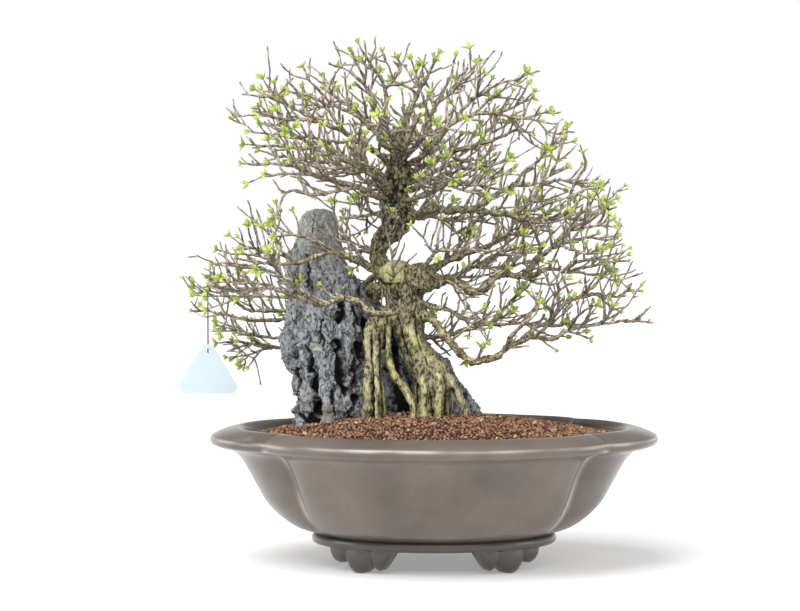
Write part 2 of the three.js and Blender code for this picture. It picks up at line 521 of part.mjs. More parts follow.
    { r: [1.8, 0.8], p: [[-20, -38, 322], [-6, -50, 326], [8, -60, 332], [20, -68, 338]] },
  ],
  crown_front_left: [
    { r: [2.8, 0.9], p: [[-29, -2, 286], [-42, -20, 294], [-56, -36, 302], [-70, -50, 310],
      [-82, -62, 318]] },
    { r: [1.8, 0.8], p: [[-52, -32, 300], [-54, -46, 309], [-54, -60, 318], [-52, -72, 326]] },
    { r: [1.7, 0.8], p: [[-60, -40, 304], [-76, -44, 302], [-92, -48, 304], [-106, -50, 308]] },
  ],
  crown_front_right: [
    { r: [2.8, 0.9], p: [[-28, -2, 276], [-12, -18, 280], [2, -32, 286], [16, -46, 294],
      [30, -58, 303]] },
    { r: [1.8, 0.8], p: [[0, -30, 285], [0, -46, 290], [-2, -62, 297], [-4, -76, 306]] },
    { r: [1.7, 0.8], p: [[10, -40, 290], [26, -42, 290], [42, -44, 294], [56, -46, 300]] },
  ],
  crown_back: [
    { r: [2.8, 0.9], p: [[-27, 2, 304], [-25, 20, 312], [-22, 40, 322], [-18, 58, 333],
      [-14, 74, 342]] },
    { r: [1.8, 0.8], p: [[-24, 32, 318], [-38, 46, 328], [-50, 58, 340], [-58, 68, 350]] },
    { r: [1.8, 0.8], p: [[-22, 40, 322], [-6, 52, 328], [8, 62, 336], [20, 70, 344]] },
  ],
  crown_back_left: [
    { r: [2.8, 0.9], p: [[-30, 2, 282], [-46, 20, 290], [-62, 38, 298], [-78, 54, 307],
      [-92, 66, 316]] },
    { r: [1.8, 0.8], p: [[-58, 34, 296], [-60, 52, 304], [-60, 68, 312], [-58, 82, 322]] },
    { r: [1.7, 0.8], p: [[-66, 42, 300], [-84, 42, 298], [-100, 46, 300], [-114, 48, 306]] },
  ],
  crown_back_right: [
    { r: [2.8, 0.9], p: [[-28, 2, 288], [-12, 20, 294], [4, 36, 302], [20, 50, 312], [36, 62, 322]] },
    { r: [1.8, 0.8], p: [[0, 32, 300], [0, 50, 308], [0, 66, 316], [2, 80, 326]] },
    { r: [1.7, 0.8], p: [[10, 41, 305], [26, 44, 302], [42, 48, 304], [58, 52, 310]] },
  ],
  back_low: [
    { r: [3, 0.9], p: [[-20, 4, 262], [-16, 22, 264], [-8, 42, 264], [2, 60, 267], [12, 78, 272]] },
    { r: [1.8, 0.8], p: [[-12, 32, 264], [-24, 50, 268], [-32, 66, 273], [-38, 80, 280]] },
    { r: [1.7, 0.8], p: [[-4, 50, 265], [14, 56, 262], [30, 62, 264], [44, 68, 268]] },
  ],
  back_left_low: [
    { r: [2.8, 0.9], p: [[-36, 6, 226], [-42, 26, 232], [-50, 46, 238], [-60, 64, 243],
      [-70, 80, 248]] },
    { r: [1.7, 0.8], p: [[-48, 42, 236], [-66, 50, 240], [-84, 56, 243], [-100, 60, 248]] },
  ],
};

// How much wider in depth a branch fans than its points say.
const fan = {
  right_low: 2.1, right_low_back: 1.4, right_mid: 2.1, right_mid_back: 1.5, right_upper: 2.1,
  crown_left_low: 1.7, crown_left: 1.8, crown_left_up: 1.8, crown_top_left: 1.7, crown_apex: 1.8,
  crown_top: 1.7, crown_top_right: 1.7, crown_right: 2, crown_right_low: 1.8, crown_right_under: 1.9,
};
for (const [name, width] of Object.entries(fan)) {
  const rootY = sprays[name][0].p[0][1];
  for (const limb of sprays[name]) for (const p of limb.p) p[1] = rootY + width * (p[1] - rootY);
}

// Growth: each limb carries opposite pairs of twigs, kept at random, that climb and spread and stay
// clear of everything already there. The random draws are seeded for each limb.

function randomFrom(seed) {
  let state = seed >>> 0;
  return () => {
    state = (state + 0x6d2b79f5) >>> 0;
    let t = state;
    t = Math.imul(t ^ (t >>> 15), t | 1);
    t ^= t + Math.imul(t ^ (t >>> 7), t | 61);
    return ((t ^ (t >>> 14)) >>> 0) / 4294967296;
  };
}

const add = (a, b, k = 1) => [a[0] + k * b[0], a[1] + k * b[1], a[2] + k * b[2]];
const dot = (a, b) => a[0] * b[0] + a[1] * b[1] + a[2] * b[2];
const cross = (a, b) => [a[1] * b[2] - a[2] * b[1], a[2] * b[0] - a[0] * b[2], a[0] * b[1] - a[1] * b[0]];
const unit = (a) => a.map((v) => v / Math.sqrt(dot(a, a)));

// Shortest distance between segments a-b and c-d.
function apart(a, b, c, d) {
  const u = add(b, a, -1);
  const v = add(d, c, -1);
  const w = add(a, c, -1);
  const uu = dot(u, u);
  const vv = dot(v, v);
  const uv = dot(u, v);
  const spread = uu * vv - uv * uv;
  let s = spread > 1e-9 ? Math.min(1, Math.max(0, (uv * dot(v, w) - vv * dot(u, w)) / spread)) : 0;
  const t = Math.min(1, Math.max(0, (uv * s + dot(v, w)) / vv));
  s = Math.min(1, Math.max(0, (uv * t - dot(u, w)) / uu));
  const gone = add(add(w, u, s), v, -t);
  return Math.sqrt(dot(gone, gone));
}

// The same limb by the points that its bends need.
function essential(points) {
  if (points.length < 3) return points;
  const first = points[0];
  const last = points[points.length - 1];
  const off = points.map((p) => apart(p, add(p, [0, 0, 1], 1e-6), first, last));
  const far = off.indexOf(Math.max(...off.slice(1, -1)));
  if (off[far] < bend) return [first, last];
  return [...essential(points.slice(0, far + 1)).slice(0, -1), ...essential(points.slice(far))];
}

function withRadii(limb) {
  const steps = limb.p.length - 1;
  return essential(limb.p.map((p, i) => [...p, limb.r[0] + ((limb.r[1] - limb.r[0]) * i) / steps]));
}

// Every stretch of wood, bud, wire or tag that is already there, with the branch it belongs to.
const taken = [];
function claim(points, owner, budded = false) {
  for (let i = 0; i + 1 < points.length; i++) {
    taken.push({ a: points[i], b: points[i + 1], r: Math.max(points[i][3], points[i + 1][3]), owner });
  }
  if (budded) {
    const [before, tip] = points.slice(-2);
    const end = add(tip, unit(add(tip, before, -1)), bud.rise);
    taken.push({ a: tip, b: end, r: bud.reach, owner });
  }
}

function isFree(points, parent) {
  const [before, tip] = points.slice(-2);
  const end = [...add(tip, unit(add(tip, before, -1)), bud.rise), bud.reach];
  const path = [...points, end];
  for (let i = 0; i + 1 < path.length; i++) {
    const reach = Math.max(path[i][3], path[i + 1][3]) + clear;
    for (const t of taken) {
      if (t.owner !== parent && apart(path[i], path[i + 1], t.a, t.b) < reach + t.r) return false;
    }
  }
  const offStone = [end, tip].every(([x, y, z]) => !insideStone(x, y, z, twigRule.offStone));
  return end[2] > twigRule.lowest && offStone;
}

// A twig from a point in a direction. The long ones bend a little, mostly upwards.
function twigLine(from, heading, length, random) {
  const middle = add(from, heading, length * 0.5);
  const swing = [random() - 0.5, random() - 0.5, random() - 0.1];
  const tip = add(middle, unit(add(heading, swing, 0.6)), length * 0.5);
  const line = [[...from, twigRule.radius], [...middle, twigRule.radius], [...tip, twigRule.tipRadius]];
  return length > twigRule.bentFrom ? line : [line[0], line[2]];
}

function growTwigs(limb, owner, seed) {
  const random = randomFrom(seed);
  const grown = [];
  const line = withRadii(limb);
  let travelled = 0;
  let next = twigRule.spacing * (0.7 + random());
  let turn = random() * Math.PI;
  for (let i = 0; i + 1 < line.length; i++) {
    const step = add(line[i + 1], line[i], -1);
    const length = Math.sqrt(dot(step, step));
    const along = unit(step);
    const radius = line[i][3];
    const side = unit(cross(along, Math.abs(along[2]) < 0.9 ? [0, 0, 1] : [1, 0, 0]));
    const other = cross(side, along);
    for (; next < travelled + length; next += twigRule.spacing * (0.75 + 0.5 * random())) {
      const base = add(line[i], along, next - travelled);
      for (const way of [0, Math.PI]) {
        const wanted = random() < twigRule.keep && radius < twigRule.thickest;
        const size = twigRule.shortest + (twigRule.longest - twigRule.shortest) * random();
        const lean = (48 + 16 * (random() - 0.5)) * degrees;
        for (let attempt = 0; attempt < twigRule.tries && wanted; attempt++) {
          const round = turn + way + attempt * 0.9;
          const out = add(side.map((v) => v * Math.cos(round)), other, Math.sin(round));
          const lift = add(along.map((v) => v * Math.cos(lean)), out, Math.sin(lean));
          const heading = unit(add(lift, [0, 0, 1], 0.22));
          const twig = twigLine(base, heading, size * (1 - 0.12 * attempt), random);
          if (!isFree(twig, owner)) continue;
          grown.push(twig);
          claim(twig, owner, true);
          break;
        }
      }
      turn += Math.PI / 2 + 0.4 * (random() - 0.5);
    }
    travelled += length;
  }
  return grown;
}

// The wire hook over the twig, and the tag on it

const hookTwig = sprays.left_low[2].p.slice(-2);
const hookShare = (wire.x - hookTwig[0][0]) / (hookTwig[1][0] - hookTwig[0][0]);
const hookSeat = hookTwig[0].map((v, i) => v + hookShare * (hookTwig[1][i] - v));
const hookReach = twigRule.radius + gap + wire.radius + wire.play;

function hookLine() {
  const [x, y, z] = hookSeat;
  const line = [];
  for (let k = 0; k <= 6; k++) {
    const turn = (Math.PI * (k - 0.6)) / 6;
    line.push([x, y - hookReach * Math.cos(turn), z + hookReach * Math.sin(turn), wire.radius]);
  }
  const back = y + hookReach;
  line.push([x, back, z - wire.drop, wire.radius]);
  for (let k = 1; k <= 4; k++) {
    const turn = (Math.PI * k) / 4;
    const low = z - wire.drop - wire.eye * Math.sin(turn);
    line.push([x, back - wire.eye + wire.eye * Math.cos(turn), low, wire.radius]);
  }
  return line;
}

function tagSolid() {
  const [x, y, z] = hookSeat;
  const half = tag.width / 2;
  const r = tag.corner;
  const holeZ = tag.height - r * 1.7;
  const hangs = z - wire.drop - wire.eye - wire.radius - gap + tag.hole; // height of the hole's middle
  const shape = new THREE.Shape();
  const slope = Math.atan2(tag.height, half);
  const centres = [[0, holeZ], [-half + r * 1.4, r], [half - r * 1.4, r]];
  const starts = [Math.PI / 2 - slope, Math.PI / 2 + slope, -Math.PI / 2];
  const sweeps = [2 * slope, Math.PI - slope, Math.PI - slope];
  centres.forEach(([cx, cy], i) => shape.absarc(cx, cy, r, starts[i], starts[i] + sweeps[i], false));
  const hole = new THREE.Path();
  hole.absarc(0, holeZ, tag.hole, 0, 2 * Math.PI, true);
  shape.holes.push(hole);
  const sheet = new THREE.ExtrudeGeometry(shape, { depth: tag.thick, bevelEnabled: false, curveSegments: 4 });
  sheet.rotateX(Math.PI / 2);
  sheet.translate(x, y + hookReach - wire.eye + tag.thick / 2, hangs - holeZ);
  return solidOf(sheet);
}

// Assembly

claim(trunkLine, "trunk");
rootLines.forEach((line) => claim(line, "trunk"));
claim(hookLine(), "hook");
const tagRoom = [[wire.drop, 4], [wire.drop + 28, tag.width / 2]]; // below the seat, and how wide
claim(tagRoom.map(([below, r]) => [hookSeat[0], hookSeat[1], hookSeat[2] - below, r]), "tag");
for (const [name, limbs] of Object.entries(sprays)) {
  limbs.forEach((limb, i) => claim(withRadii(limb), `${name}/${i}`, true));
}

const woodGrown = wood(gap);

function sprayTubes(limbs, name, sprayNumber) {
  return limbs.flatMap((limb, i) => {
    const line = withRadii(limb);
    const twigs = growTwigs(limb, `${name}/${i}`, twigRule.seed + 97 * sprayNumber + i);
    return [tube(line, limb.r[0] > 3.1 ? 4 : 3, 0, true), ...twigs.map((twig) => tube(twig, 3, 0, true))];
  });
}

const stoneGrown = stoneSolid(gap);
const trunk = largest(wood().subtract(stoneGrown));

function makeSoil() {
  const wall = innerWall.map(([halfWidth, z, strength]) => [halfWidth - soil.inset, z, strength]).reverse();
  wall[0][1] += gap;
  const edge = wall[wall.length - 1];
  const rings = [[[0, 0, bedTop + gap]], ...wall.map((p) => outline(...p))];
  for (const share of [0.66, 0.3]) {
    const middle = soil.crownX * (1 - share);
    const rise = (soil.crownZ - soil.edgeZ) * (1 - share ** 2) ** 1.1;
    rings.push(outline(edge[0] * share, soil.edgeZ + rise, share).map(([x, y, z]) => [x + middle, y, z]));
  }
  rings.push([[soil.crownX, 0, soil.crownZ]]);
  const beds = [-1, 1].map((side) => {
    const half = drain.screen / 2 + gap;
    const high = bedTop + drain.thick + 2 * gap;
    return box([side * drain.x - half, -half, bedTop - 1], [side * drain.x + half, half, high]);
  });
  return largest(loft(rings).subtract(union([stoneGrown, woodGrown, ...beds])));
}

const finish = {
  clay: { color: 0x7d756c, roughness: 0.45 },
  akadama: { color: 0x7a4630, roughness: 0.95 },
  limestone: { color: 0x5d6166, roughness: 0.85 },
  bark: { color: 0x8a8258, roughness: 0.9 },
  twig: { color: 0x86735f, roughness: 0.85 },
  screen: { color: 0x1f2422, roughness: 0.6 },
  wire: { color: 0x1c1c1e, roughness: 0.5 },
  card: { color: 0xf2f4f5, roughness: 0.6 },
};

const bonsai = new THREE.Group();

function place(name, solid, look) {
  const { numProp, vertProperties, triVerts } = solid.getMesh();
  const positions = new Float32Array((vertProperties.length / numProp) * 3);
  for (let i = 0; i < positions.length / 3; i++) {
    positions.set(vertProperties.subarray(i * numProp, i * numProp + 3), i * 3);
  }
  const geometry = new THREE.BufferGeometry();
  geometry.setAttribute("position", new THREE.BufferAttribute(positions, 3));
  geometry.setIndex(new THREE.BufferAttribute(new Uint32Array(triVerts), 1));
  geometry.computeVertexNormals();
  const mesh = new THREE.Mesh(geometry, new THREE.MeshStandardMaterial({ metalness: 0, ...finish[look] }));
  mesh.name = name;
  bonsai.add(mesh);
}

place("pot", makePot(), "clay");
place("drain_screen_left", makeScreen(-1), "screen");
place("drain_screen_right", makeScreen(1), "screen");
place("soil", makeSoil(), "akadama");
place("stone", stoneSolid(), "limestone");
place("trunk", trunk, "bark");
Object.entries(sprays).forEach(([name, limbs], i) => {
  place(`branch_${name}`, largest(union(sprayTubes(limbs, name, i)).subtract(woodGrown)), "twig");
});
place("tag_wire", tube(hookLine(), 6), "wire");
place("hang_tag", tagSolid(), "card");

const extent = new THREE.Box3().setFromObject(bonsai);
bonsai.position.set(-(extent.min.x + extent.max.x) / 2, -(extent.min.y + extent.max.y) / 2, -extent.min.z);

export default bonsai;
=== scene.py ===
import itertools
import json
import math
import random
import time

import bpy
import numpy as np
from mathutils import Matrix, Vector
from mathutils.kdtree import KDTree

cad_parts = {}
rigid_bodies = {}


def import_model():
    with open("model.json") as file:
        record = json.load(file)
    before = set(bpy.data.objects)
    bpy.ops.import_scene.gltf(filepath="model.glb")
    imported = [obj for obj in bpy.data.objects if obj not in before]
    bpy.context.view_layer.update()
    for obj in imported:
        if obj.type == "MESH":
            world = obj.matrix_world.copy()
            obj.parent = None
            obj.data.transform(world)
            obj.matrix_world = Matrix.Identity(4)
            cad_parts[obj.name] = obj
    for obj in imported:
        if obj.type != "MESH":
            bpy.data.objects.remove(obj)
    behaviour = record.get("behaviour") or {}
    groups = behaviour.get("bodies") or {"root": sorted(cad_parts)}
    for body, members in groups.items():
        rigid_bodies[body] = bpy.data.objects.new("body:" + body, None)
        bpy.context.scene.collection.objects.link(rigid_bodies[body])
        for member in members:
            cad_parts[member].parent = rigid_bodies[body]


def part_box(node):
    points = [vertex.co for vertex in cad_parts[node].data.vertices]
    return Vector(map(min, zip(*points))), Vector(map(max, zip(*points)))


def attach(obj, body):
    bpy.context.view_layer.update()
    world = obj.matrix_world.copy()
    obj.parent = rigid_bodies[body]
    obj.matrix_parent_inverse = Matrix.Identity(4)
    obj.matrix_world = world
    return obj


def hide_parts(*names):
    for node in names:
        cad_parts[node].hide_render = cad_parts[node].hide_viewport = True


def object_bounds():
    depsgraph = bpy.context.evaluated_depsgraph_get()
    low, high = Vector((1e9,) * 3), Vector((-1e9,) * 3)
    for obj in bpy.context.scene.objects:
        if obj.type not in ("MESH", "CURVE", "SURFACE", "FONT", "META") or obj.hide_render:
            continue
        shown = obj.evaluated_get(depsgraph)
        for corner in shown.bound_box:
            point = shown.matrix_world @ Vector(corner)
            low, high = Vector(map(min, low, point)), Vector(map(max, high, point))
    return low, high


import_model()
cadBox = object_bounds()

# A premna bonsai over a stone, in a lobed oval pot. All shapes are worked out in millimetres from the
# middle of the pot, as in the solids, and toFrame moves them to the frame's metres.

started = time.time()
potLow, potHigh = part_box("pot")
shift = np.array([(potLow.x + potHigh.x) * 500, (potLow.y + potHigh.y) * 500, 0.0])
degrees = math.pi / 180


def report(stage):
    print(f"{stage}, {time.time() - started:.0f} s")


def toFrame(points):
    return (np.asarray(points, dtype=float) + shift) / 1000


# Meshes

def addObject(name, mesh, collection=None):
    thing = bpy.data.objects.new(name, mesh)
    (collection or bpy.context.scene.collection).objects.link(thing)
    return thing


def addMesh(name, points, faces, edges=(), collection=None):
    mesh = bpy.data.meshes.new(name)
    mesh.from_pydata(toFrame(points).tolist(), list(edges), faces)
    mesh.shade_smooth()
    return addObject(name, mesh, collection)


def loft(rings):
    # a closed skin through rings of points; a ring of one point is a pole
    points, faces, starts = [], [], []
    for ring in rings:
        starts.append(len(points))
        points.extend(ring)
    for (low, high), (a, b) in zip(itertools.pairwise(rings), itertools.pairwise(starts)):
        count = max(len(low), len(high))
        for j in range(count):
            k = (j + 1) % count
            if len(low) == 1:
                faces.append((a, b + k, b + j))
            elif len(high) == 1:
                faces.append((a + j, a + k, b))
            else:
                faces.append((a + j, a + k, b + k, b + j))
    return points, faces


def joined(shapes):
    points, faces = [], []
    for somePoints, someFaces in shapes:
        start = len(points)
        points.extend(somePoints)
        faces.extend(tuple(v + start for v in face) for face in someFaces)
    return points, faces


def setValues(thing, name, values):
    layer = thing.data.attributes.new(name, "FLOAT", "POINT")
    layer.data.foreach_set("value", np.asarray(values, dtype=np.float32))


def setVectors(thing, name, values):
    layer = thing.data.attributes.new(name, "FLOAT_VECTOR", "POINT")
    layer.data.foreach_set("vector", np.asarray(values, dtype=np.float32).ravel())


def readPoints(thing):
    # points and normals of a mesh, in the millimetres that the shapes are worked out in
    count = len(thing.data.vertices)
    points, normals = np.empty(count * 3), np.empty(count * 3)
    thing.data.vertices.foreach_get("co", points)
    thing.data.vertex_normals.foreach_get("vector", normals)
    return points.reshape(-1, 3) * 1000 - shift, normals.reshape(-1, 3)


def writePoints(thing, points):
    thing.data.vertices.foreach_set("co", toFrame(points).ravel())
    thing.data.update()


def flatten(thing):
    # the modifiers' result becomes the object's own plain mesh
    graph = bpy.context.evaluated_depsgraph_get()
    made = bpy.data.meshes.new_from_object(thing.evaluated_get(graph), depsgraph=graph)
    before = thing.data
    thing.modifiers.clear()
    thing.data = made
    bpy.data.meshes.remove(before)
    made.name = thing.name


def remesh(thing, size, rounds):
    voxels = thing.modifiers.new("voxels", "REMESH")
    voxels.mode = "VOXEL"
    voxels.voxel_size = size / 1000
    voxels.use_smooth_shade = True
    settle = thing.modifiers.new("settle", "SMOOTH")
    settle.factor = 0.5
    settle.iterations = rounds
    flatten(thing)


def handOver(thing, slotName, *nodes):
    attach(thing, "root")
    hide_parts(*nodes)


# Lines and noise

def smoothLine(rows, spacing):
    # an even curve through rows of numbers, the first three of each being its place
    rows = np.asarray(rows, dtype=float)
    padded = np.vstack([2 * rows[0] - rows[1], rows, 2 * rows[-1] - rows[-2]])
    t = np.linspace(0, 1, 13)[:-1, None]
    pieces = []
    for a, b, c, d in zip(padded, padded[1:], padded[2:], padded[3:]):
        pieces.append(0.5 * (2 * b + (c - a) * t + (2 * a - 5 * b + 4 * c - d) * t**2
                             + (3 * b - a - 3 * c + d) * t**3))
    dense = np.vstack(pieces + [rows[-1:]])
    travelled = np.concatenate([[0], np.cumsum(np.linalg.norm(np.diff(dense[:, :3], axis=0), axis=1))])
    count = max(2, round(travelled[-1] / spacing) + 1)
    wanted = np.linspace(0, travelled[-1], count)
    return np.stack([np.interp(wanted, travelled, dense[:, k]) for k in range(rows.shape[1])], axis=1)


def offLine(points, line):
    # distance from points to a line of points
    best = np.full(len(points), 1e9)
    for a, b in itertools.pairwise(np.asarray(line, dtype=float)):
        step = b - a
        share = np.clip((points - a) @ step / (step @ step), 0, 1)
        best = np.minimum(best, np.linalg.norm(points - a - share[:, None] * step, axis=1))
    return best


slopes = np.random.default_rng(5).normal(size=(256, 3))
slopes /= np.linalg.norm(slopes, axis=1)[:, None]
shuffle = np.random.default_rng(6).permutation(256)


def ripple(points, size, seed=0):
    # smooth noise from about -1 to 1, in bumps of about that many millimetres
    p = np.asarray(points, dtype=float) / size + 37.7 * seed + 0.31
    cell = np.floor(p).astype(int)
    local = p - cell
    fade = local**3 * (local * (local * 6 - 15) + 10)
    total = np.zeros(len(p))
    for corner in itertools.product((0, 1), repeat=3):
        x, y, z = (cell + corner).T & 255
        slope = slopes[shuffle[(shuffle[(shuffle[x] + y) & 255] + z) & 255]]
        weight = np.prod(np.where(corner, fade, 1 - fade), axis=1)
        total += weight * np.einsum("ij,ij->i", local - corner, slope)
    return 1.7 * total


facetShape = {"blend": 0.12, "edge": 0.08}  # widths between two planes, as shares of their size


def facets(points, size, seed):
    # planes broken at odd angles, about that many millimetres across, and how near their edges are
    draw = np.random.default_rng(seed)
    low, high = points.min(axis=0) - size, points.max(axis=0) + size
    count = int(np.prod((high - low) / size))
    middles, tilts = draw.uniform(low, high, (count, 3)), draw.normal(size=(count, 3))
    tilts /= np.linalg.norm(tilts, axis=1)[:, None]
    steps = draw.uniform(-0.5, 0.5, count)
    nearest = KDTree(count)
    for k, middle in enumerate(middles):
        nearest.insert(middle, k)
    nearest.balance()
    found = [nearest.find_n(p, 2) for p in points]
    first, second = (np.array([pair[k][1] for pair in found]) for k in (0, 1))
    gap = np.array([pair[1][2] - pair[0][2] for pair in found]) / size
    level = [np.einsum("ij,ij->i", points - middles[k], tilts[k]) / size + steps[k] for k in (first, second)]
    share = 0.5 + 0.5 * np.clip(gap / facetShape["blend"], 0, 1)
    return share * level[0] + (1 - share) * level[1], np.exp(-gap / facetShape["edge"])


# Nodes and materials

def addNode(tree, kind, inputs=None, **settings):
    node = tree.nodes.new(kind)
    node.location = (190 * (len(tree.nodes) % 9), -230 * (len(tree.nodes) // 9))
    for name, value in settings.items():
        setattr(node, name, value)
    for name, value in (inputs or {}).items():
        if isinstance(value, bpy.types.NodeSocket):
            tree.links.new(value, node.inputs[name])
        else:
            node.inputs[name].default_value = value
    return node


def startTree(name, sockets):
    tree = bpy.data.node_groups.new(name, "GeometryNodeTree")
    tree.interface.new_socket(name="Geometry", in_out="OUTPUT", socket_type="NodeSocketGeometry")
    for label, kind in sockets.items():
        tree.interface.new_socket(name=label, in_out="INPUT", socket_type=f"NodeSocket{kind}")
    return tree, addNode(tree, "NodeGroupInput").outputs


def applyTree(thing, tree, values):
    modifier = thing.modifiers.new(tree.name, "NODES")
    modifier.node_group = tree
    for item in tree.interface.items_tree:
        if item.in_out == "INPUT" and item.name in values:
            modifier[item.identifier] = values[item.name]
    flatten(thing)


def colour(code):
    # an sRGB hex code as the linear colour that the shaders work in
    parts = [int(code[i:i + 2], 16) / 255 for i in (1, 3, 5)]
    return (*[c / 12.92 if c <= 0.04045 else ((c + 0.055) / 1.055) ** 2.4 for c in parts], 1.0)


def perMetre(size):
    return 1000 / size  # texture scale for features of that many millimetres


def startMaterial(name, **shader):
    material = bpy.data.materials.new(name)
    material.use_nodes = True
    tree = material.node_tree
    surface = tree.nodes["Principled BSDF"]
    for label, value in shader.items():
        surface.inputs[label.replace("_", " ")].default_value = value
    place = addNode(tree, "ShaderNodeTexCoord").outputs["Object"]
    return material, tree, surface, place


def finish(tree, surface, base, layers, height=None, strength=0, distance=0):
    # colours laid over a base, each by its own mask, and a bump of that many metres from a height
    base = colour(base) if isinstance(base, str) else base
    for mask, over in layers:
        over = colour(over) if isinstance(over, str) else over
        base = addNode(tree, "ShaderNodeMix", {0: mask, 6: base, 7: over}, data_type="RGBA").outputs[2]
    tree.links.new(base, surface.inputs["Base Color"])
    if height is not None:
        bump = addNode(tree, "ShaderNodeBump", {"Strength": strength, "Distance": distance, "Height": height})
        tree.links.new(bump.outputs["Normal"], surface.inputs["Normal"])


# Materials

def satinStoneware():
    # unglazed stoneware, burnished: broad soft highlights on a close grey-brown body, with painted highlights
    # along the creases, the rim top and the lip's edge
    material, tree, surface, place = startMaterial(
        "satinStoneware", IOR=1.52, Coat_Weight=0.45, Coat_Roughness=0.13)
    cloud = addNode(tree, "ShaderNodeTexNoise", {
        "Vector": place, "Scale": perMetre(55), "Detail": 5}).outputs["Fac"]
    blotch = addNode(tree, "ShaderNodeMapRange", {0: cloud, 1: 0.34, 2: 0.66}).outputs[0]
    speck = addNode(tree, "ShaderNodeTexNoise", {
        "Vector": place, "Scale": perMetre(1.6), "Detail": 2}).outputs["Fac"]
    dots = addNode(tree, "ShaderNodeMapRange", {0: speck, 1: 0.62, 2: 0.72, 4: 0.35}).outputs[0]
    height = addNode(tree, "ShaderNodeSeparateXYZ", {0: place}).outputs["Z"]
    # darker towards the foot band and feet: partly painted shade under the pot, partly the feet's own darker
    # tone
    low = addNode(tree, "ShaderNodeMapRange", {0: height, 1: 0.0275, 2: 0.0245, 4: 0.75}).outputs[0]
    # painted highlights along the creases, on the rim top and along the lip's edge
    worn = addNode(tree, "ShaderNodeAttribute", attribute_name="worn").outputs["Fac"]
    patchiness = addNode(tree, "ShaderNodeMapRange", {0: cloud, 1: 0.35, 2: 0.65, 3: 0.27, 4: 0.38})
    tree.links.new(patchiness.outputs[0], surface.inputs["Roughness"])
    finish(tree, surface, "#4e443b", [
        (blotch, "#6b6056"), (dots, "#3a342f"), (low, "#312e29"), (worn, "#d6ccc1")], speck, 0.12, 0.0004)
    return material


def firedClayGrain():
    # hard fired clay granules, broken and sieved: dead matt red-brown with a few tan ones; the mound beneath
    # them is painted near black as shade between the granules
    material, tree, surface, place = startMaterial("firedClayGrain", Roughness=0.95)
    grain = addNode(tree, "ShaderNodeAttribute", attribute_name="grain").outputs["Fac"]
    rare = addNode(tree, "ShaderNodeMapRange", {0: grain, 1: 0.972, 2: 0.974}).outputs[0]
    # near black on the mound under the granules: painted shade between them
    paintedBedShade = addNode(tree, "ShaderNodeMapRange", {0: grain, 1: -0.05, 2: -0.3}).outputs[0]
    dust = addNode(tree, "ShaderNodeTexNoise", {
        "Vector": place, "Scale": perMetre(1.2), "Detail": 3}).outputs["Fac"]
    finish(tree, surface, "#5e3b2b", [
        (grain, "#bf9172"), (rare, "#d9b890"), (paintedBedShade, "#2c1a12")], dust, 0.5, 0.0003)
    return material


def weatheredLimestone():
    # dark limestone, rain worn: blue-grey with pale streaks down its flutes, paler towards the top, painted
    # highlights on its raised forms and black painted shade in its crevices and cracks
    material, tree, surface, place = startMaterial("weatheredLimestone", Roughness=0.78)
    drawn = addNode(tree, "ShaderNodeMapping", {"Vector": place, "Scale": (1, 1, 0.55)}).outputs["Vector"]
    fine = addNode(tree, "ShaderNodeTexNoise", {
        "Vector": drawn, "Scale": perMetre(4), "Detail": 8, "Roughness": 0.74}).outputs["Fac"]
    spread = addNode(tree, "ShaderNodeMapRange", {0: fine, 1: 0.38, 2: 0.62}).outputs[0]
    streak = addNode(tree, "ShaderNodeTexNoise", {
        "Vector": drawn, "Scale": perMetre(11), "Detail": 6, "Roughness": 0.6}).outputs["Fac"]
    pale = addNode(tree, "ShaderNodeMapRange", {0: streak, 1: 0.53, 2: 0.68, 4: 0.75}).outputs[0]
    chip = addNode(tree, "ShaderNodeTexNoise", {
        "Vector": place, "Scale": perMetre(1.3), "Detail": 3}).outputs["Fac"]
    bright = addNode(tree, "ShaderNodeMapRange", {0: chip, 1: 0.58, 2: 0.68, 4: 0.7}).outputs[0]
    pit = addNode(tree, "ShaderNodeTexNoise", {
        "Vector": drawn, "Scale": perMetre(1.9), "Detail": 4}).outputs["Fac"]
    black = addNode(tree, "ShaderNodeMapRange", {0: pit, 1: 0.46, 2: 0.37, 4: 0.88}).outputs[0]
    height = addNode(tree, "ShaderNodeSeparateXYZ", {0: place}).outputs["Z"]
    high = addNode(tree, "ShaderNodeMapRange", {0: height, 1: 0.222, 2: 0.25, 4: 0.36}).outputs[0]
    depth = addNode(tree, "ShaderNodeAttribute", attribute_name="depth").outputs["Fac"]
    # near black where the relief is low: painted shade in crevices, cracks and along facet edges
    dark = addNode(tree, "ShaderNodeMapRange", {0: depth, 1: 0.46, 2: 0.05}).outputs[0]
    lump = addNode(tree, "ShaderNodeAttribute", attribute_name="lump").outputs["Fac"]
    finish(tree, surface, "#22252b", [
        (spread, "#c3c7cb"), (pale, "#c9c9c5"), (bright, "#cdd1d4"), (black, "#121316"),
        (high, "#c3c5b8"), (dark, "#0d0e11"), (lump, "#b5ac9a")], fine, 0.9, 0.0011)
    return material


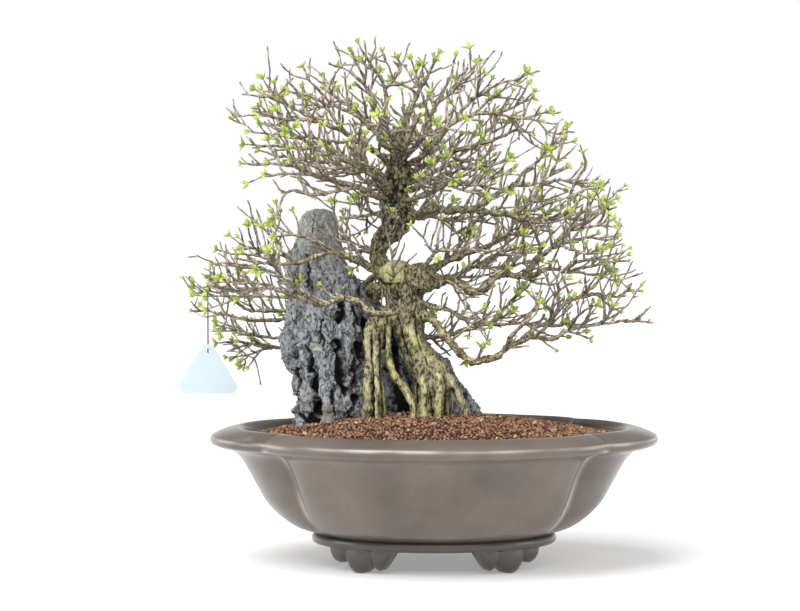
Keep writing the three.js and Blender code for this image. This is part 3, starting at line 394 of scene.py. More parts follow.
def fissuredBark():
    # live bark of an old trunk: corky olive plates, fissures and hollows painted near black as shade, pale
    # yellow-green on the burl's face and the root crests, partly smooth bark and partly painted highlight
    material, tree, surface, place = startMaterial("fissuredBark", Roughness=0.88)
    drawn = addNode(tree, "ShaderNodeMapping", {"Vector": place, "Scale": (1, 1, 0.45)}).outputs["Vector"]
    fine = addNode(tree, "ShaderNodeTexNoise", {
        "Vector": drawn, "Scale": perMetre(1.7), "Detail": 6, "Roughness": 0.7}).outputs["Fac"]
    patch = addNode(tree, "ShaderNodeTexNoise", {
        "Vector": place, "Scale": perMetre(16), "Detail": 3}).outputs["Fac"]
    mossy = addNode(tree, "ShaderNodeMapRange", {0: patch, 1: 0.42, 2: 0.62}).outputs[0]
    height = addNode(tree, "ShaderNodeSeparateXYZ", {0: place}).outputs["Z"]
    upper = addNode(tree, "ShaderNodeMapRange", {0: height, 1: 0.226, 2: 0.246}).outputs[0]
    crumbly = addNode(tree, "ShaderNodeMapRange", {0: fine, 1: 0.4, 2: 0.62}).outputs[0]
    old = addNode(tree, "ShaderNodeMix", {0: crumbly, 6: colour("#3b3824"), 7: colour("#a89f7c")},
                  data_type="RGBA").outputs[2]
    skin = addNode(tree, "ShaderNodeMix", {0: mossy, 6: colour("#ded7a9"), 7: colour("#ccc87c")},
                   data_type="RGBA").outputs[2]
    # pale on the burl's face and the front of the root crests: partly smooth bark, partly painted highlight
    bare = addNode(tree, "ShaderNodeAttribute", attribute_name="bare").outputs["Fac"]
    most = addNode(tree, "ShaderNodeMapRange", {0: bare, 3: 0.92, 4: 0.6}).outputs[0]
    speckle = addNode(tree, "ShaderNodeMapRange", {0: fine, 1: 0.5, 2: 0.42, 4: most}).outputs[0]
    depth = addNode(tree, "ShaderNodeAttribute", attribute_name="depth").outputs["Fac"]
    # near black in fissures, furrows and hollows: painted shade
    dark = addNode(tree, "ShaderNodeMapRange", {0: depth, 1: 0.56, 2: 0.16}).outputs[0]
    finish(tree, surface, "#3d3824", [
        (crumbly, "#b3ab84"), (upper, old), (bare, skin), (speckle, "#2f2919"), (dark, "#15120b")],
        fine, 0.6, 0.0006)
    return material


def twigBark():
    # live twig bark: young shoots smooth and mauve-brown, older limbs olive grey with dark flecks,
    # with painted shade on the undersides and towards the crowded core of the crown
    material, tree, surface, place = startMaterial("twigBark", Roughness=0.8)
    thick = addNode(tree, "ShaderNodeAttribute", attribute_name="thick").outputs["Fac"]
    # darker near the crowded core of the crown: partly older bark, partly painted shade
    core = addNode(tree, "ShaderNodeMapping", {
        "Vector": place, "Location": (0.016, 0, -0.115), "Scale": (1, 1, 0.38)}).outputs["Vector"]
    offCore = addNode(tree, "ShaderNodeVectorMath", {0: core}, operation="LENGTH").outputs["Value"]
    inner = addNode(tree, "ShaderNodeMapRange", {0: offCore, 1: 0.05, 2: 0.02, 4: 0.4}).outputs[0]
    old = addNode(tree, "ShaderNodeMapRange", {0: thick, 1: 0.0009, 2: 0.0024}).outputs[0]
    patch = addNode(tree, "ShaderNodeTexNoise", {
        "Vector": place, "Scale": perMetre(6), "Detail": 5}).outputs["Fac"]
    turned = addNode(tree, "ShaderNodeMapRange", {0: patch, 1: 0.38, 2: 0.62}).outputs[0]
    aged = addNode(tree, "ShaderNodeMix", {0: turned, 6: colour("#867d5a"), 7: colour("#ccc198")},
                   data_type="RGBA").outputs[2]
    fleck = addNode(tree, "ShaderNodeTexNoise", {
        "Vector": place, "Scale": perMetre(1.8), "Detail": 4}).outputs["Fac"]
    flecks = addNode(tree, "ShaderNodeMapRange", {0: thick, 1: 0.0009, 2: 0.0024, 3: 0.5, 4: 0.9}).outputs[0]
    dark = addNode(tree, "ShaderNodeMapRange", {0: fleck, 1: 0.52, 2: 0.42, 4: flecks}).outputs[0]
    facing = addNode(tree, "ShaderNodeNewGeometry").outputs["Normal"]
    upward = addNode(tree, "ShaderNodeSeparateXYZ", {0: facing}).outputs["Z"]
    # darker on the undersides: painted shade
    paintedUnderShade = addNode(tree, "ShaderNodeMapRange", {0: upward, 1: 0.1, 2: -0.7, 4: 0.75}).outputs[0]
    finish(tree, surface, "#82725f", [
        (turned, "#d8cab6"), (old, aged), (dark, "#3a3224"), (inner, "#3d3725"), (paintedUnderShade, "#2b251c")],
        fleck, 0.5, 0.0004)
    return material


def openingLeaf():
    # a leaf just out of its bud: thin, moist and bright yellow-green, greener in small mottles
    material, tree, surface, place = startMaterial("openingLeaf", Roughness=0.5)
    tint = addNode(tree, "ShaderNodeAttribute", attribute_name="tint").outputs["Fac"]
    vein = addNode(tree, "ShaderNodeTexNoise", {
        "Vector": place, "Scale": perMetre(1.5), "Detail": 2}).outputs["Fac"]
    mottle = addNode(tree, "ShaderNodeMapRange", {0: vein, 1: 0.6, 2: 0.35, 4: 0.4}).outputs[0]
    finish(tree, surface, "#b0cc48", [(tint, "#e6f38c"), (mottle, "#8bb03c")])
    return material


def mouldedMesh():
    # polyethylene drain mesh, moulded: dull black-green with a faint pebble
    material, tree, surface, place = startMaterial("mouldedMesh", Roughness=0.6)
    pebble = addNode(tree, "ShaderNodeTexNoise", {
        "Vector": place, "Scale": perMetre(0.8), "Detail": 2}).outputs["Fac"]
    finish(tree, surface, "#151a17", [(pebble, "#2b322e")], pebble, 0.3, 0.0002)
    return material


def coatedWire():
    # annealed wire with a black baked coat: dark, with small worn glints
    material, tree, surface, place = startMaterial("coatedWire", Roughness=0.45)
    wear = addNode(tree, "ShaderNodeTexNoise", {
        "Vector": place, "Scale": perMetre(1.5), "Detail": 3}).outputs["Fac"]
    worn = addNode(tree, "ShaderNodeMapRange", {0: wear, 1: 0.6, 2: 0.7, 4: 0.6}).outputs[0]
    finish(tree, surface, "#1b1b1d", [(worn, "#56565a")])
    return material


def coatedCard():
    # white card with a smooth coating: faintly cool, almost even
    material, tree, surface, place = startMaterial("coatedCard", Roughness=0.4)
    pulp = addNode(tree, "ShaderNodeTexNoise", {
        "Vector": place, "Scale": perMetre(7), "Detail": 4}).outputs["Fac"]
    finish(tree, surface, "#c3d6dc", [(pulp, "#cfe0e5")])
    return material


clay, akadama, limestone = satinStoneware(), firedClayGrain(), weatheredLimestone()
bark, twigSkin, leafSkin = fissuredBark(), twigBark(), openingLeaf()
plastic, blackCoat, card = mouldedMesh(), coatedWire(), coatedCard()
report("materials")


# Pot: an oval bowl pulled in at four sharp creases and four soft ones, on a foot band and cloud feet

potShape = {
    "rim": (171, 128), "foot": (93.5, 70), "angles": 440,
    "crease": (42, 0.062, 10), "softCrease": (63, 0.018, 6), "edge": (0.01, 2.2),  # angle, depth, reach
    "lean": (3.5, 0.0986),  # degrees by which creases stand nearer the ends: at the rim, and more per mm
    "holeAt": 52, "holeRadius": 11, "holeSides": 64, "bore": (10.0, 40.0),
    "underside": 20.4, "floor": 33, "rise": 1.9,
}
# half width, height and lobe strength, from the underside over the rim to the inner floor
potRows = [
    (60, 20.4, 0), (83, 20.2, 0), (86.4, 19, 0), (88, 17.8, 0), (90, 17.5, 0), (91.8, 17.8, 0),
    (93.1, 19.2, 0), (93.5, 21, 0), (93.2, 23, 0), (92, 24.5, 0), (90, 25.3, 0), (88.6, 25.7, 0),
    (88.5, 26.3, 0.05), (90.5, 26.7, 0.15), (95, 27.1, 0.35), (100, 28, 0.5), (107, 30.8, 0.75),
    (114, 35.2, 0.9), (122, 42, 1.05), (129, 50, 1.2), (134, 58.6, 1.25), (138.6, 67, 1.3), (143, 75, 1.3),
    (147.6, 82.3, 1.25), (152, 87, 1.2), (156, 89.4, 1.1), (161, 91, 1.0), (165.5, 92, 0.9),
    (168.6, 93, 0.85), (170.4, 94.5, 0.8), (171, 96.4, 0.8), (170.7, 98, 0.8), (169.8, 99.4, 0.8),
    (167.6, 100.8, 0.81), (163, 102.8, 0.82), (156.5, 104.9, 0.86), (151, 106, 0.9), (148, 105.6, 0.9),
    (146.2, 104.2, 0.95), (145.2, 101.5, 1), (144, 97, 1), (138, 84, 1), (131, 68, 1), (124, 52, 1),
    (112, 40, 1), (103, 35, 1), (94, 33, 1),
]


def pull(angle, strength):
    folded = np.abs((angle + 90) % 180 - 90)
    middle, depth, reach = potShape["crease"]
    softMiddle, softDepth, softReach = potShape["softCrease"]
    edge, edgeReach = potShape["edge"]
    off = np.abs(folded - middle)
    sharp = depth * np.exp(-off / reach) + edge * np.exp(-off / edgeReach)
    return 1 - strength * (sharp + softDepth * np.exp(-(((folded - softMiddle) / softReach) ** 2)))


def depthFor(halfWidth):
    (rimWidth, rimDepth), (footWidth, footDepth) = potShape["rim"], potShape["foot"]
    if halfWidth <= footWidth:
        return halfWidth * footDepth / footWidth
    return footDepth + (halfWidth - footWidth) / (rimWidth - footWidth) * (rimDepth - footDepth)


def outline(halfWidth, z, strength, count=potShape["angles"], middleX=0):
    angle = np.arange(count) * 360 / count
    reach = pull(angle, strength)
    least, perMm = potShape["lean"]
    most = least + perMm * (potShape["rim"][0] - max(halfWidth, potShape["foot"][0]))
    stands = (angle - most * np.sin(2 * angle * degrees)) * degrees
    x = halfWidth * np.cos(stands) * reach + middleX
    y = depthFor(halfWidth) * np.sin(stands) * reach
    return np.stack([x, y, np.full(count, float(z))], axis=1)


footShape = {
    "middle": 50.5, "reach": 42, "steps": 96,  # degrees of the oval that a foot follows
    # middle, half, swell, low
    "lobes": [(-0.7, 0.32, 2.8, 6.5), (-0.03, 0.35, 3.7, 0.0), (0.66, 0.36, 3.2, 2.4)],
    "rows": 12, "top": 20.6, "inset": 4, "sweep": 15.5, "scallop": 4.6, "tuck": 2.2, "rounding": 1.5,
    "taper": 0.24,
}


def footSide(u):
    # the middle of the lobe at u, -1 to 1 along the foot, how far its face swells out and how low it hangs
    middle, half, swell, low = min(footShape["lobes"], key=lambda lobe: abs(u - lobe[0]) / lobe[1])
    off = min(1, abs(u - middle) / half)
    dome = math.sqrt(1 - off**2)
    slope = footShape["sweep"] * max(0, (u - 0.5) / 0.5) ** 1.7  # the inner end sweeps up to the band
    return middle, swell * dome**0.7, low + footShape["scallop"] * (1 - dome) + slope


def cloudFoot(signX, signY):
    top, rings = footShape["top"], []
    for u in np.linspace(-1, 1, footShape["steps"] + 1):
        middle, swell, low = footSide(u)
        low = min(low, top - 1)
        face = []
        for v in np.linspace(0, 1, footShape["rows"]):
            belly = swell * (0.45 + 0.55 * math.sin(math.pi * min(1, 0.12 + 0.8 * v)))
            belly = belly - footShape["tuck"] * v**3
            edge = footShape["rounding"] * (1 - math.sqrt(max(0, 1 - (max(0, v - 0.72) / 0.28) ** 2)))
            at = middle + (u - middle) * (1 - footShape["taper"] * v**1.5)
            face.append((belly - edge, top + (low - top) * v, at))
        inner = face[-1][2]  # the plain back of the foot follows
        face += [(-9, low, inner), (-12, low + 1, inner), (-13.5, min(low + 3, top - 0.2), u), (-14, top, u)]
        ring = []
        for out, z, at in face:
            angle = (footShape["middle"] + at * footShape["reach"] / 2) * degrees
            ring.append((signX * (potShape["foot"][0] - footShape["inset"] + out) * math.cos(angle),
                         signY * (potShape["foot"][1] - footShape["inset"] + out) * math.sin(angle), z))
        rings.append(ring)
    ends = [[tuple(np.mean(ring, axis=0))] for ring in (rings[0], rings[-1])]
    if signX * signY < 0:
        rings = [ring[::-1] for ring in rings]
    return loft([ends[0], *rings, ends[1]])


# painted highlights: the clay paler along the creases, on the rim top where it faces up and most of all on
# the edge of its lip
glintShape = {
    "creaseFrom": 29, "creaseHalf": 1.9, "crease": 0.6, "lipAt": 98.2, "lipHalf": 0.8, "lip": 0.8,
    "rimAt": 98, "rimOver": 2, "rim": 0.08, "patch": 26,
}


def paintGlints(pot, rings):
    points, normals = readPoints(pot)
    widest = int(np.argmax([ring[:, 0].max() for ring in rings]))
    outside = np.einsum("ij,ij->i", normals[:, :2], points[:, :2]) > 0
    near = np.zeros(len(points))
    for turn in (0, 180):
        for crease in (turn + potShape["crease"][0], turn + 180 - potShape["crease"][0]):
            k = round(crease * potShape["angles"] / 360)
            line = [ring[k] for ring in rings[:widest] if ring[k, 2] > glintShape["creaseFrom"]][::2]
            near = np.maximum(near, np.exp(-((offLine(points, line) / glintShape["creaseHalf"]) ** 2)))
    # painted highlights: a narrow band on the lip's edge, the rim top where it faces up, and the creases
    # above
    height = points[:, 2]
    lip = np.exp(-(((height - glintShape["lipAt"]) / glintShape["lipHalf"]) ** 2))
    patchy = np.clip(0.65 + 0.9 * ripple(points, glintShape["patch"], 3), 0.2, 1)
    rim = glintShape["rim"] * np.clip((height - glintShape["rimAt"]) / glintShape["rimOver"], 0, 1)
    rim = rim * np.clip(normals[:, 2] * 2, 0, 1)
    most = np.maximum(glintShape["crease"] * near, glintShape["lip"] * lip)
    setValues(pot, "worn", np.maximum(outside * patchy * most, rim))


def makePot():
    bowl = [outline(w, z, s) for w, z, s in smoothLine(potRows, potShape["rise"])]
    rings = [[(0, 0, potShape["underside"])], *bowl, [(0, 0, potShape["floor"])]]
    pot = addMesh("lobedPot", *loft(rings))
    feet = addMesh("feet", *joined([cloudFoot(x, y) for x, y in ((-1, -1), (1, -1), (1, 1), (-1, 1))]))
    count, (low, high) = potShape["holeSides"], potShape["bore"]
    turns = np.arange(count) * 2 * math.pi / count
    bores = []
    for middle in (-potShape["holeAt"], potShape["holeAt"]):
        x = middle + potShape["holeRadius"] * np.cos(turns)
        y = potShape["holeRadius"] * np.sin(turns)
        levels = [np.stack([x, y, np.full(count, z)], axis=1) for z in (low, high)]
        bores.append(loft([[(middle, 0, low)], *levels, [(middle, 0, high)]]))
    cutters = addMesh("bores", *joined(bores))
    for tool, action in ((feet, "UNION"), (cutters, "DIFFERENCE")):
        cut = pot.modifiers.new(tool.name, "BOOLEAN")
        cut.object, cut.operation, cut.solver = tool, action, "MANIFOLD"
    flatten(pot)
    for tool in (feet, cutters):
        bpy.data.objects.remove(tool)
    paintGlints(pot, rings[1:-1])
    pot.data.materials.clear()
    pot.data.materials.append(clay)
    pot.data.shade_smooth()
    handOver(pot, "clay", "pot")


makePot()
report("pot")


# Drain screens: squares of moulded plastic mesh under the soil

screenShape = {"cells": 9, "bar": 1.2, "side": 34}


def makeScreen(node):
    low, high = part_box(node)
    middle = [(a + b) * 500 - s for a, b, s in zip(low, high, shift)]
    half, cells = (screenShape["side"] - screenShape["bar"]) / 2, screenShape["cells"]
    marks = np.linspace(-half, half, cells + 1)
    points = [(middle[0] + x, middle[1] + y, middle[2]) for y in marks for x in marks]
    row = cells + 1
    faces = [(j * row + i, j * row + i + 1, (j + 1) * row + i + 1, (j + 1) * row + i)
             for j in range(cells) for i in range(cells)]
    screen = addMesh(node.replace("drain_", ""), points, faces)
    bars = screen.modifiers.new("bars", "WIREFRAME")
    bars.thickness = screenShape["bar"] / 1000
    bars.use_even_offset = False
    flatten(screen)
    screen.data.materials.append(plastic)
    screen.data.shade_flat()
    handOver(screen, "screen_plastic", node)


makeScreen("drain_screen_left")
makeScreen("drain_screen_right")
report("drain screens")


# Stone: a spire on the left and a ridge that slopes down behind the roots

# height, left, right, middle y and half depth of each level
spireLevels = [
    (92, -107, -52, 8, 25), (112, -107, -52, 8, 26), (132, -107, -52, 8, 26), (150, -109, -53, 9, 26),
    (166, -117, -55, 9, 27), (180, -114, -56, 9, 26), (196, -111, -58, 10, 25), (212, -112, -60, 10, 24),
    (226, -112, -65, 10, 22), (237, -109, -71, 10, 20), (250, -104, -72, 10, 18), (262, -102, -76, 9, 15),
    (269, -99, -80, 9, 11),
]
ridgeLevels = [
    (92, -62, 44, 26, 22), (113, -62, 38, 26, 21), (128, -62, 27, 26, 19), (145, -62, 15, 26, 17),
    (163, -64, 0, 26, 15), (185, -66, -24, 25, 13), (210, -72, -50, 22, 10), (226, -80, -64, 18, 7),
]
stoneShape = {
    "sides": 96, "course": 2.5, "voxel": 0.98, "caps": (-4, 3), "wrinkled": 8,
    "blocks": (13, 31), "chips": (5, 32), "knobs": (9, 2),  # size and seed
    "cracks": ((1.0, 15, 3), (0.6, 7, 4)),  # share, size and seed
    "smoothTop": (225, 60, 0.35),  # the height from which relief fades, over how much, and what is left
    # by how many millimetres each form stands out or cuts in, and how much painted light or shade it gets:
    # paler where it stands out, darker where it cuts in
    "standsOut": {"block": 4.2, "chip": 2.2, "knob": 0.8, "crack": 0.9, "blockEdge": 1.2, "chipEdge": 0.5,
                  "grain": 0.5},
    "lightByRelief": {"all": 0.78, "block": 0.25, "chip": 0.22, "knob": 0.12, "blockEdge": 0.35, "chipEdge": 0.22,
              "grain": 0.1},
    # crevices of the front, as lines of x and z with a half width and a depth; each is also painted near
    # black as shade
    "crevices": [
        ([(-99, 168), (-96, 158), (-92.5, 146), (-88, 127), (-86.5, 116)], 2.1, 9),
        ([(-73, 170), (-72, 158), (-69.5, 143), (-67.5, 131)], 2.2, 9),
        ([(-70, 203), (-71, 194), (-71, 187)], 2.0, 8), ([(-105, 117), (-99, 113), (-95, 110)], 1.8, 7),
        ([(-92, 115), (-88, 106)], 2.4, 8), ([(-60, 172), (-61, 150), (-60, 128), (-64, 114)], 1.3, 5),
        ([(-93, 270), (-91, 262), (-94, 254)], 0.7, 1.6), ([(-78, 134), (-75, 116)], 1.2, 4),
        ([(-106, 152), (-103, 140), (-104, 126)], 1.1, 3.5), ([(-84, 187), (-87, 178), (-83, 165)], 0.9, 2.6),
        ([(-62, 207), (-59, 190), (-61, 178)], 1.1, 3.5), ([(-98, 240), (-95, 226), (-99, 212)], 0.9, 2.0),
        ([(-31, 190), (-30, 165), (-28, 140), (-24, 112)], 4.2, 3.5), ([(-56, 185), (-57, 150)], 1.6, 3),
    ],
    # smooth lumps: x and z, size, rise, paleness; the paleness is a tan of the stone, and on the last, low
    # left one a painted highlight
    "lumps": [((-91, 167), 3.0, 1.3, 0.7), ((-81, 117), 7.5, 0.8, 0.65), ((-100, 135), 7, 0.2, 0.35)],
}


def wrinkle(angle, z, size):
    # flutes round the stone, five broad and nine narrow, that lean as they rise, and a few waves
    def valley(count, lean, start):
        return np.abs(np.sin(count * angle / 2 + z * lean + start)) - 0.64
    flutes = 0.13 * valley(5, 0.011, 0.5) + 0.07 * valley(9, -0.02, 1.9)
    return size * (flutes + 0.05 * valley(2, 0.17, 0.3) + 0.03 * np.sin(3 * angle + z * 0.31))


def levelAt(levels, z):
    # the sides, middle and half depth between two levels
    i = 0
    while i + 2 < len(levels) and levels[i + 1][0] < z:
        i += 1
    share = (z - levels[i][0]) / (levels[i + 1][0] - levels[i][0])
    return [a + share * (b - a) for a, b in zip(levels[i][1:], levels[i + 1][1:])]


def stoneStack(levels):
    bottom, top = levels[0][0], levels[-1][0]
    angle = np.arange(stoneShape["sides"]) * 2 * math.pi / stoneShape["sides"]
    rings = []
    for z in np.linspace(bottom, top, round((top - bottom) / stoneShape["course"]) + 1):
        left, right, y, halfDepth = levelAt(levels, z)
        bulge = wrinkle(angle, z, halfDepth + stoneShape["wrinkled"])
        x = (left + right) / 2 + ((right - left) / 2 + bulge) * np.cos(angle)
        rings.append(np.stack([x, y + (halfDepth + bulge) * np.sin(angle), np.full(len(angle), z)], axis=1))
    poles = []
    for level, rise in zip((levels[0], levels[-1]), stoneShape["caps"]):
        poles.append([((level[1] + level[2]) / 2, level[3], level[0] + rise)])
    return loft([poles[0], *rings, poles[1]])


def insideStone(x, y, z, margin):
    for levels in (spireLevels, ridgeLevels):
        if z > levels[-1][0] + margin:
            continue
        left, right, middle, halfDepth = levelAt(levels, max(z, levels[0][0]))
        wide = (x - (left + right) / 2) / ((right - left) / 2 + margin)
        if wide * wide + ((y - middle) / (halfDepth + margin)) ** 2 < 1:
            return True
    return False


def makeStone():
    stone = addMesh("stoneSpire", *joined([stoneStack(spireLevels), stoneStack(ridgeLevels)]))
    remesh(stone, stoneShape["voxel"], 2)
    points, normals = readPoints(stone)
    drawn = points * (1, 1, 0.5) + points[:, [2]] * (0.14, 0, 0)
    drawn += 2.2 * np.stack([ripple(points, 9, 20 + k) for k in range(3)], axis=1)
    blocks, blockEdges = facets(drawn, *stoneShape["blocks"])
    chips, chipEdges = facets(drawn, *stoneShape["chips"])
    knobs = ripple(points * (1, 1, 0.7), *stoneShape["knobs"])
    cracks = sum(share * np.exp(-np.abs(ripple(drawn, size, seed)) / 0.06)
                 for share, size, seed in stoneShape["cracks"])
    grain = ripple(points, 2.6, 6) + 0.7 * ripple(points, 1.4, 7)
    smoothFrom, fade, least = stoneShape["smoothTop"]
    low = np.clip((smoothFrom - points[:, 2]) / fade, least, 1)
    out, lightByRelief = stoneShape["standsOut"], stoneShape["lightByRelief"]
    moved = low * (out["block"] * blocks + out["chip"] * chips + out["knob"] * knobs - out["crack"] * cracks
                   - out["blockEdge"] * blockEdges - out["chipEdge"] * chipEdges) + out["grain"] * grain
    # paler on raised forms, darker in cracks and along edges: painted light and shade following the relief
    depth = (lightByRelief["all"] + lightByRelief["block"] * blocks + lightByRelief["chip"] * chips + lightByRelief["knob"] * knobs
             - (0.2 + 0.3 * low) * cracks + lightByRelief["grain"] * grain)
    depth -= low * (lightByRelief["blockEdge"] * blockEdges + lightByRelief["chipEdge"] * chipEdges)
    front = np.clip(-normals[:, 1] * 2.5, 0, 1)
    wander = [2.4 * ripple(points, 7, 8 + k) + 1.3 * ripple(points, 2.8, 18 + k) for k in (0, 1)]
    wander = np.stack(wander, axis=1)
    for line, half, deep in stoneShape["crevices"]:
        near = np.exp(-((offLine(points[:, [0, 2]] + wander, line) / half) ** 2)) * front
        moved -= deep * near
        # each crevice is also painted dark as shade
        depth -= 1.1 * near
    # tan on the lumps; on the last, low left one it is a painted highlight
    tanAndHighlight = np.zeros(len(points))
    for middle, size, rise, pale in stoneShape["lumps"]:
        off = np.linalg.norm((points[:, [0, 2]] - middle) * (1, 0.75), axis=1) / size
        near = np.exp(-off**4) * front * np.clip(4 * depth, 0, 1)
        moved = moved * (1 - 0.4 * near) + rise * near
        depth = depth * (1 - near) + 0.7 * near
        tanAndHighlight = np.maximum(tanAndHighlight, pale * near * (0.75 + 0.5 * ripple(points, 3, 23)))
    writePoints(stone, points + normals * moved[:, None])
    setValues(stone, "depth", np.clip(depth, 0, 1))
    setValues(stone, "lump", np.clip(tanAndHighlight, 0, 1))
    stone.data.materials.append(limestone)
    handOver(stone, "limestone", "stone")


makeStone()
report("stone")


# Soil: a mound of fired clay granules

soilShape = {
    "wall": [(93, 33.3, 1), (123, 52, 1), (143, 99, 1)],  # half width, height and lobe strength
    "crown": 116, "crownX": -12, "rings": 45, "sides": 240, "crumbs": 5, "grain": 1.2,
    "waves": [(0.7, 9, 8), (0.5, 3.5, 9)], "settled": 0.6,  # height, size and seed
    # granules and a few pebbles: least distance, smallest and largest scale, darkest shade
    "scatters": [(1.9, 0.7, 1.25, 0.0), (40.0, 1.4, 2.4, 0.975)],
}


def makeSoil():
    wall, sides = soilShape["wall"], soilShape["sides"]
    crown, crownX, (halfWidth, edge, _) = soilShape["crown"], soilShape["crownX"], wall[-1]
    rings = [[(0, 0, wall[0][1])]] + [outline(w, z, s, sides) for w, z, s in smoothLine(wall, 6)]
    for share in np.linspace(1, 0, soilShape["rings"] + 1)[1:-1]:
        rise = (crown - edge) * (1 - share * share) ** 1.1
        rings.append(outline(halfWidth * share, edge + rise, share, sides, crownX * (1 - share)))
    rings.append([(crownX, 0, crown)])
    soil = addMesh("soilGranules", *loft(rings))
    points, normals = readPoints(soil)
    top = (normals[:, 2] > 0.5) & (points[:, 2] > 90)
    waves = sum(high * ripple(points, size, seed) for high, size, seed in soilShape["waves"])
    points[:, 2] += top * (waves - soilShape["settled"])
    writePoints(soil, points)
    buried = [insideStone(x, y, z, -4) for x, y, z in points]
    setValues(soil, "top", top * (1 - np.array(buried)))
    # the mound takes a grain value below every granule's, which the material paints near black as shade
    # between the granules
    setValues(soil, "grain", np.full(len(points), -0.4))

    shapes = bpy.data.collections.new("crumbs")
    corners = np.array(list(itertools.product((-1, 1), repeat=3))) / math.sqrt(3)
    squares = [(0, 1, 3, 2), (4, 6, 7, 5), (0, 4, 5, 1), (2, 3, 7, 6), (0, 2, 6, 4), (1, 5, 7, 3)]
    faces = [half for a, b, c, d in squares for half in ((a, b, c), (a, c, d))]
    draw = np.random.default_rng(21)
    for k in range(soilShape["crumbs"]):
        lumpy = corners * draw.uniform(0.72, 1.2, (8, 1)) * draw.uniform(0.8, 1.2, 3) * soilShape["grain"]
        crumb = addMesh(f"crumb{k}", lumpy - shift, faces, collection=shapes)
        crumb.data.shade_flat()

    tree, given = startTree("scatterGrains", {
        "Geometry": "Geometry", "Grains": "Collection", "Apart": "Float", "Smallest": "Float",
        "Largest": "Float", "Darkest": "Float", "Seed": "Int", "Finish": "Material"})
    mask = addNode(tree, "GeometryNodeInputNamedAttribute", {"Name": "top"}).outputs["Attribute"]
    spots = addNode(tree, "GeometryNodeDistributePointsOnFaces", {
        "Mesh": given["Geometry"], "Distance Min": given["Apart"], "Density Max": 400000.0,
        "Density Factor": mask, "Seed": given["Seed"]}, distribute_method="POISSON").outputs["Points"]
    variety = addNode(tree, "GeometryNodeCollectionInfo", {
        "Collection": given["Grains"], "Separate Children": True, "Reset Children": True}).outputs[0]
    turn = addNode(tree, "FunctionNodeRandomValue", {0: (0, 0, 0), 1: (6.28, 6.28, 6.28), 8: given["Seed"]},
                   data_type="FLOAT_VECTOR").outputs[0]
    turned = addNode(tree, "FunctionNodeEulerToRotation", {"Euler": turn}).outputs[0]
    size = addNode(tree, "FunctionNodeRandomValue", {
        2: given["Smallest"], 3: given["Largest"], 8: given["Seed"]}, data_type="FLOAT")
    pick = addNode(tree, "FunctionNodeRandomValue", {4: 0, 5: soilShape["crumbs"] - 1, 8: given["Seed"]},
                   data_type="INT").outputs[2]
    grains = addNode(tree, "GeometryNodeInstanceOnPoints", {
        "Points": spots, "Instance": variety, "Pick Instance": True, "Instance Index": pick,
        "Rotation": turned, "Scale": size.outputs[1]}).outputs[0]
    shade = addNode(tree, "FunctionNodeRandomValue", {
        2: given["Darkest"], 3: 1.0, 8: given["Seed"]}, data_type="FLOAT")
    shaded = addNode(tree, "GeometryNodeStoreNamedAttribute", {
        "Geometry": grains, "Name": "grain", "Value": shade.outputs[1]}, data_type="FLOAT", domain="INSTANCE")
    both = addNode(tree, "GeometryNodeJoinGeometry", {"Geometry": shaded.outputs[0]})
    tree.links.new(given["Geometry"], both.inputs[0])
    real = addNode(tree, "GeometryNodeRealizeInstances", {"Geometry": both.outputs[0]}).outputs[0]
    done = addNode(tree, "GeometryNodeSetMaterial", {
        "Geometry": real, "Material": given["Finish"]}).outputs[0]
    addNode(tree, "NodeGroupOutput", {0: done})
    for seed, (apart, smallest, largest, darkest) in enumerate(soilShape["scatters"], 3):
        applyTree(soil, tree, {
            "Grains": shapes, "Apart": apart / 1000, "Smallest": smallest, "Largest": largest,
            "Darkest": darkest, "Seed": seed, "Finish": akadama})
    removeCollection(shapes)
    handOver(soil, "akadama", "soil")


def removeCollection(shapes):
    for thing in list(shapes.objects):
        bpy.data.meshes.remove(thing.data)
    bpy.data.collections.remove(shapes)


makeSoil()
report("soil")


# Trunk and surface roots, as points x, y, z and radius

trunkLine = [
    (-2, -6, 100, 15), (-1, -6, 118, 15), (-3, -7, 145, 14), (-10, -7, 156, 13), (-16, -6, 166, 11.5),
    (-19, -4, 180, 12), (-22, -3, 195, 14), (-24, -2, 210, 14.5), (-33, 2, 220, 10.5), (-41, 6, 229, 7),
    (-43, 8, 240, 6.5), (-38, 6, 248, 7.5), (-31, 2, 256, 10), (-29, 0, 268, 11), (-30, 0, 282, 10.5),
    (-29, 0, 296, 9), (-27, 0, 308, 7), (-26, 0, 320, 4.6), (-25, 0, 330, 3),
]
rootLines = [
    [(1, -14, 153, 5), (4, -19, 140, 4), (3.5, -21, 125, 3.7), (2, -22, 102, 3.2)],
    [(5, -8, 153, 5), (14, -11, 138, 3.5), (21, -13, 125, 3.2), (28, -14, 102, 3)],
    [(-10, -12, 150, 5), (-8, -17, 135, 4.5), (-8, -19, 120, 4.3), (-9, -20, 102, 4)],
    [(-20, -6, 193, 10), (-34, -10, 190, 8.5), (-43, -13, 184, 8.5), (-46, -14, 172, 7.5), (-45, -14, 158, 6),
     (-42, -13, 140, 3.8), (-39, -11, 122, 3.3), (-38, -10, 102, 3)],
    [(-49, -14, 182, 4.5), (-50, -17, 166, 3.6), (-46.5, -19, 152, 3.4), (-44, -20, 138, 3.3),
     (-43.5, -20, 122, 3.2), (-43, -20, 102, 3)],
    [(-50, -14, 170, 3), (-50, -17, 152, 3.6), (-50.5, -18, 138, 4), (-49.5, -18, 122, 3.6),
     (-49, -18, 102, 3)],
    [(-50, -18, 127, 2.6), (-54, -20, 115, 2.3), (-58, -21, 101, 2)],
    [(-36, -12, 186, 4.5), (-35.5, -15, 170, 3.3), (-33.5, -17, 155, 3.2), (-29, -19, 144, 3.4),
     (-21, -21, 134, 3.6), (-16, -23, 122, 3.6), (-14, -24, 102, 3.2)],
]
burls = [((-28, -8, 222), (13, 11, 11.5)), ((-11, -7, 219), (13, 12, 12))]
knot = ((-45, -2, 209), (8.5, 8, 7))  # a gnarled knot at the foot of the left limbs

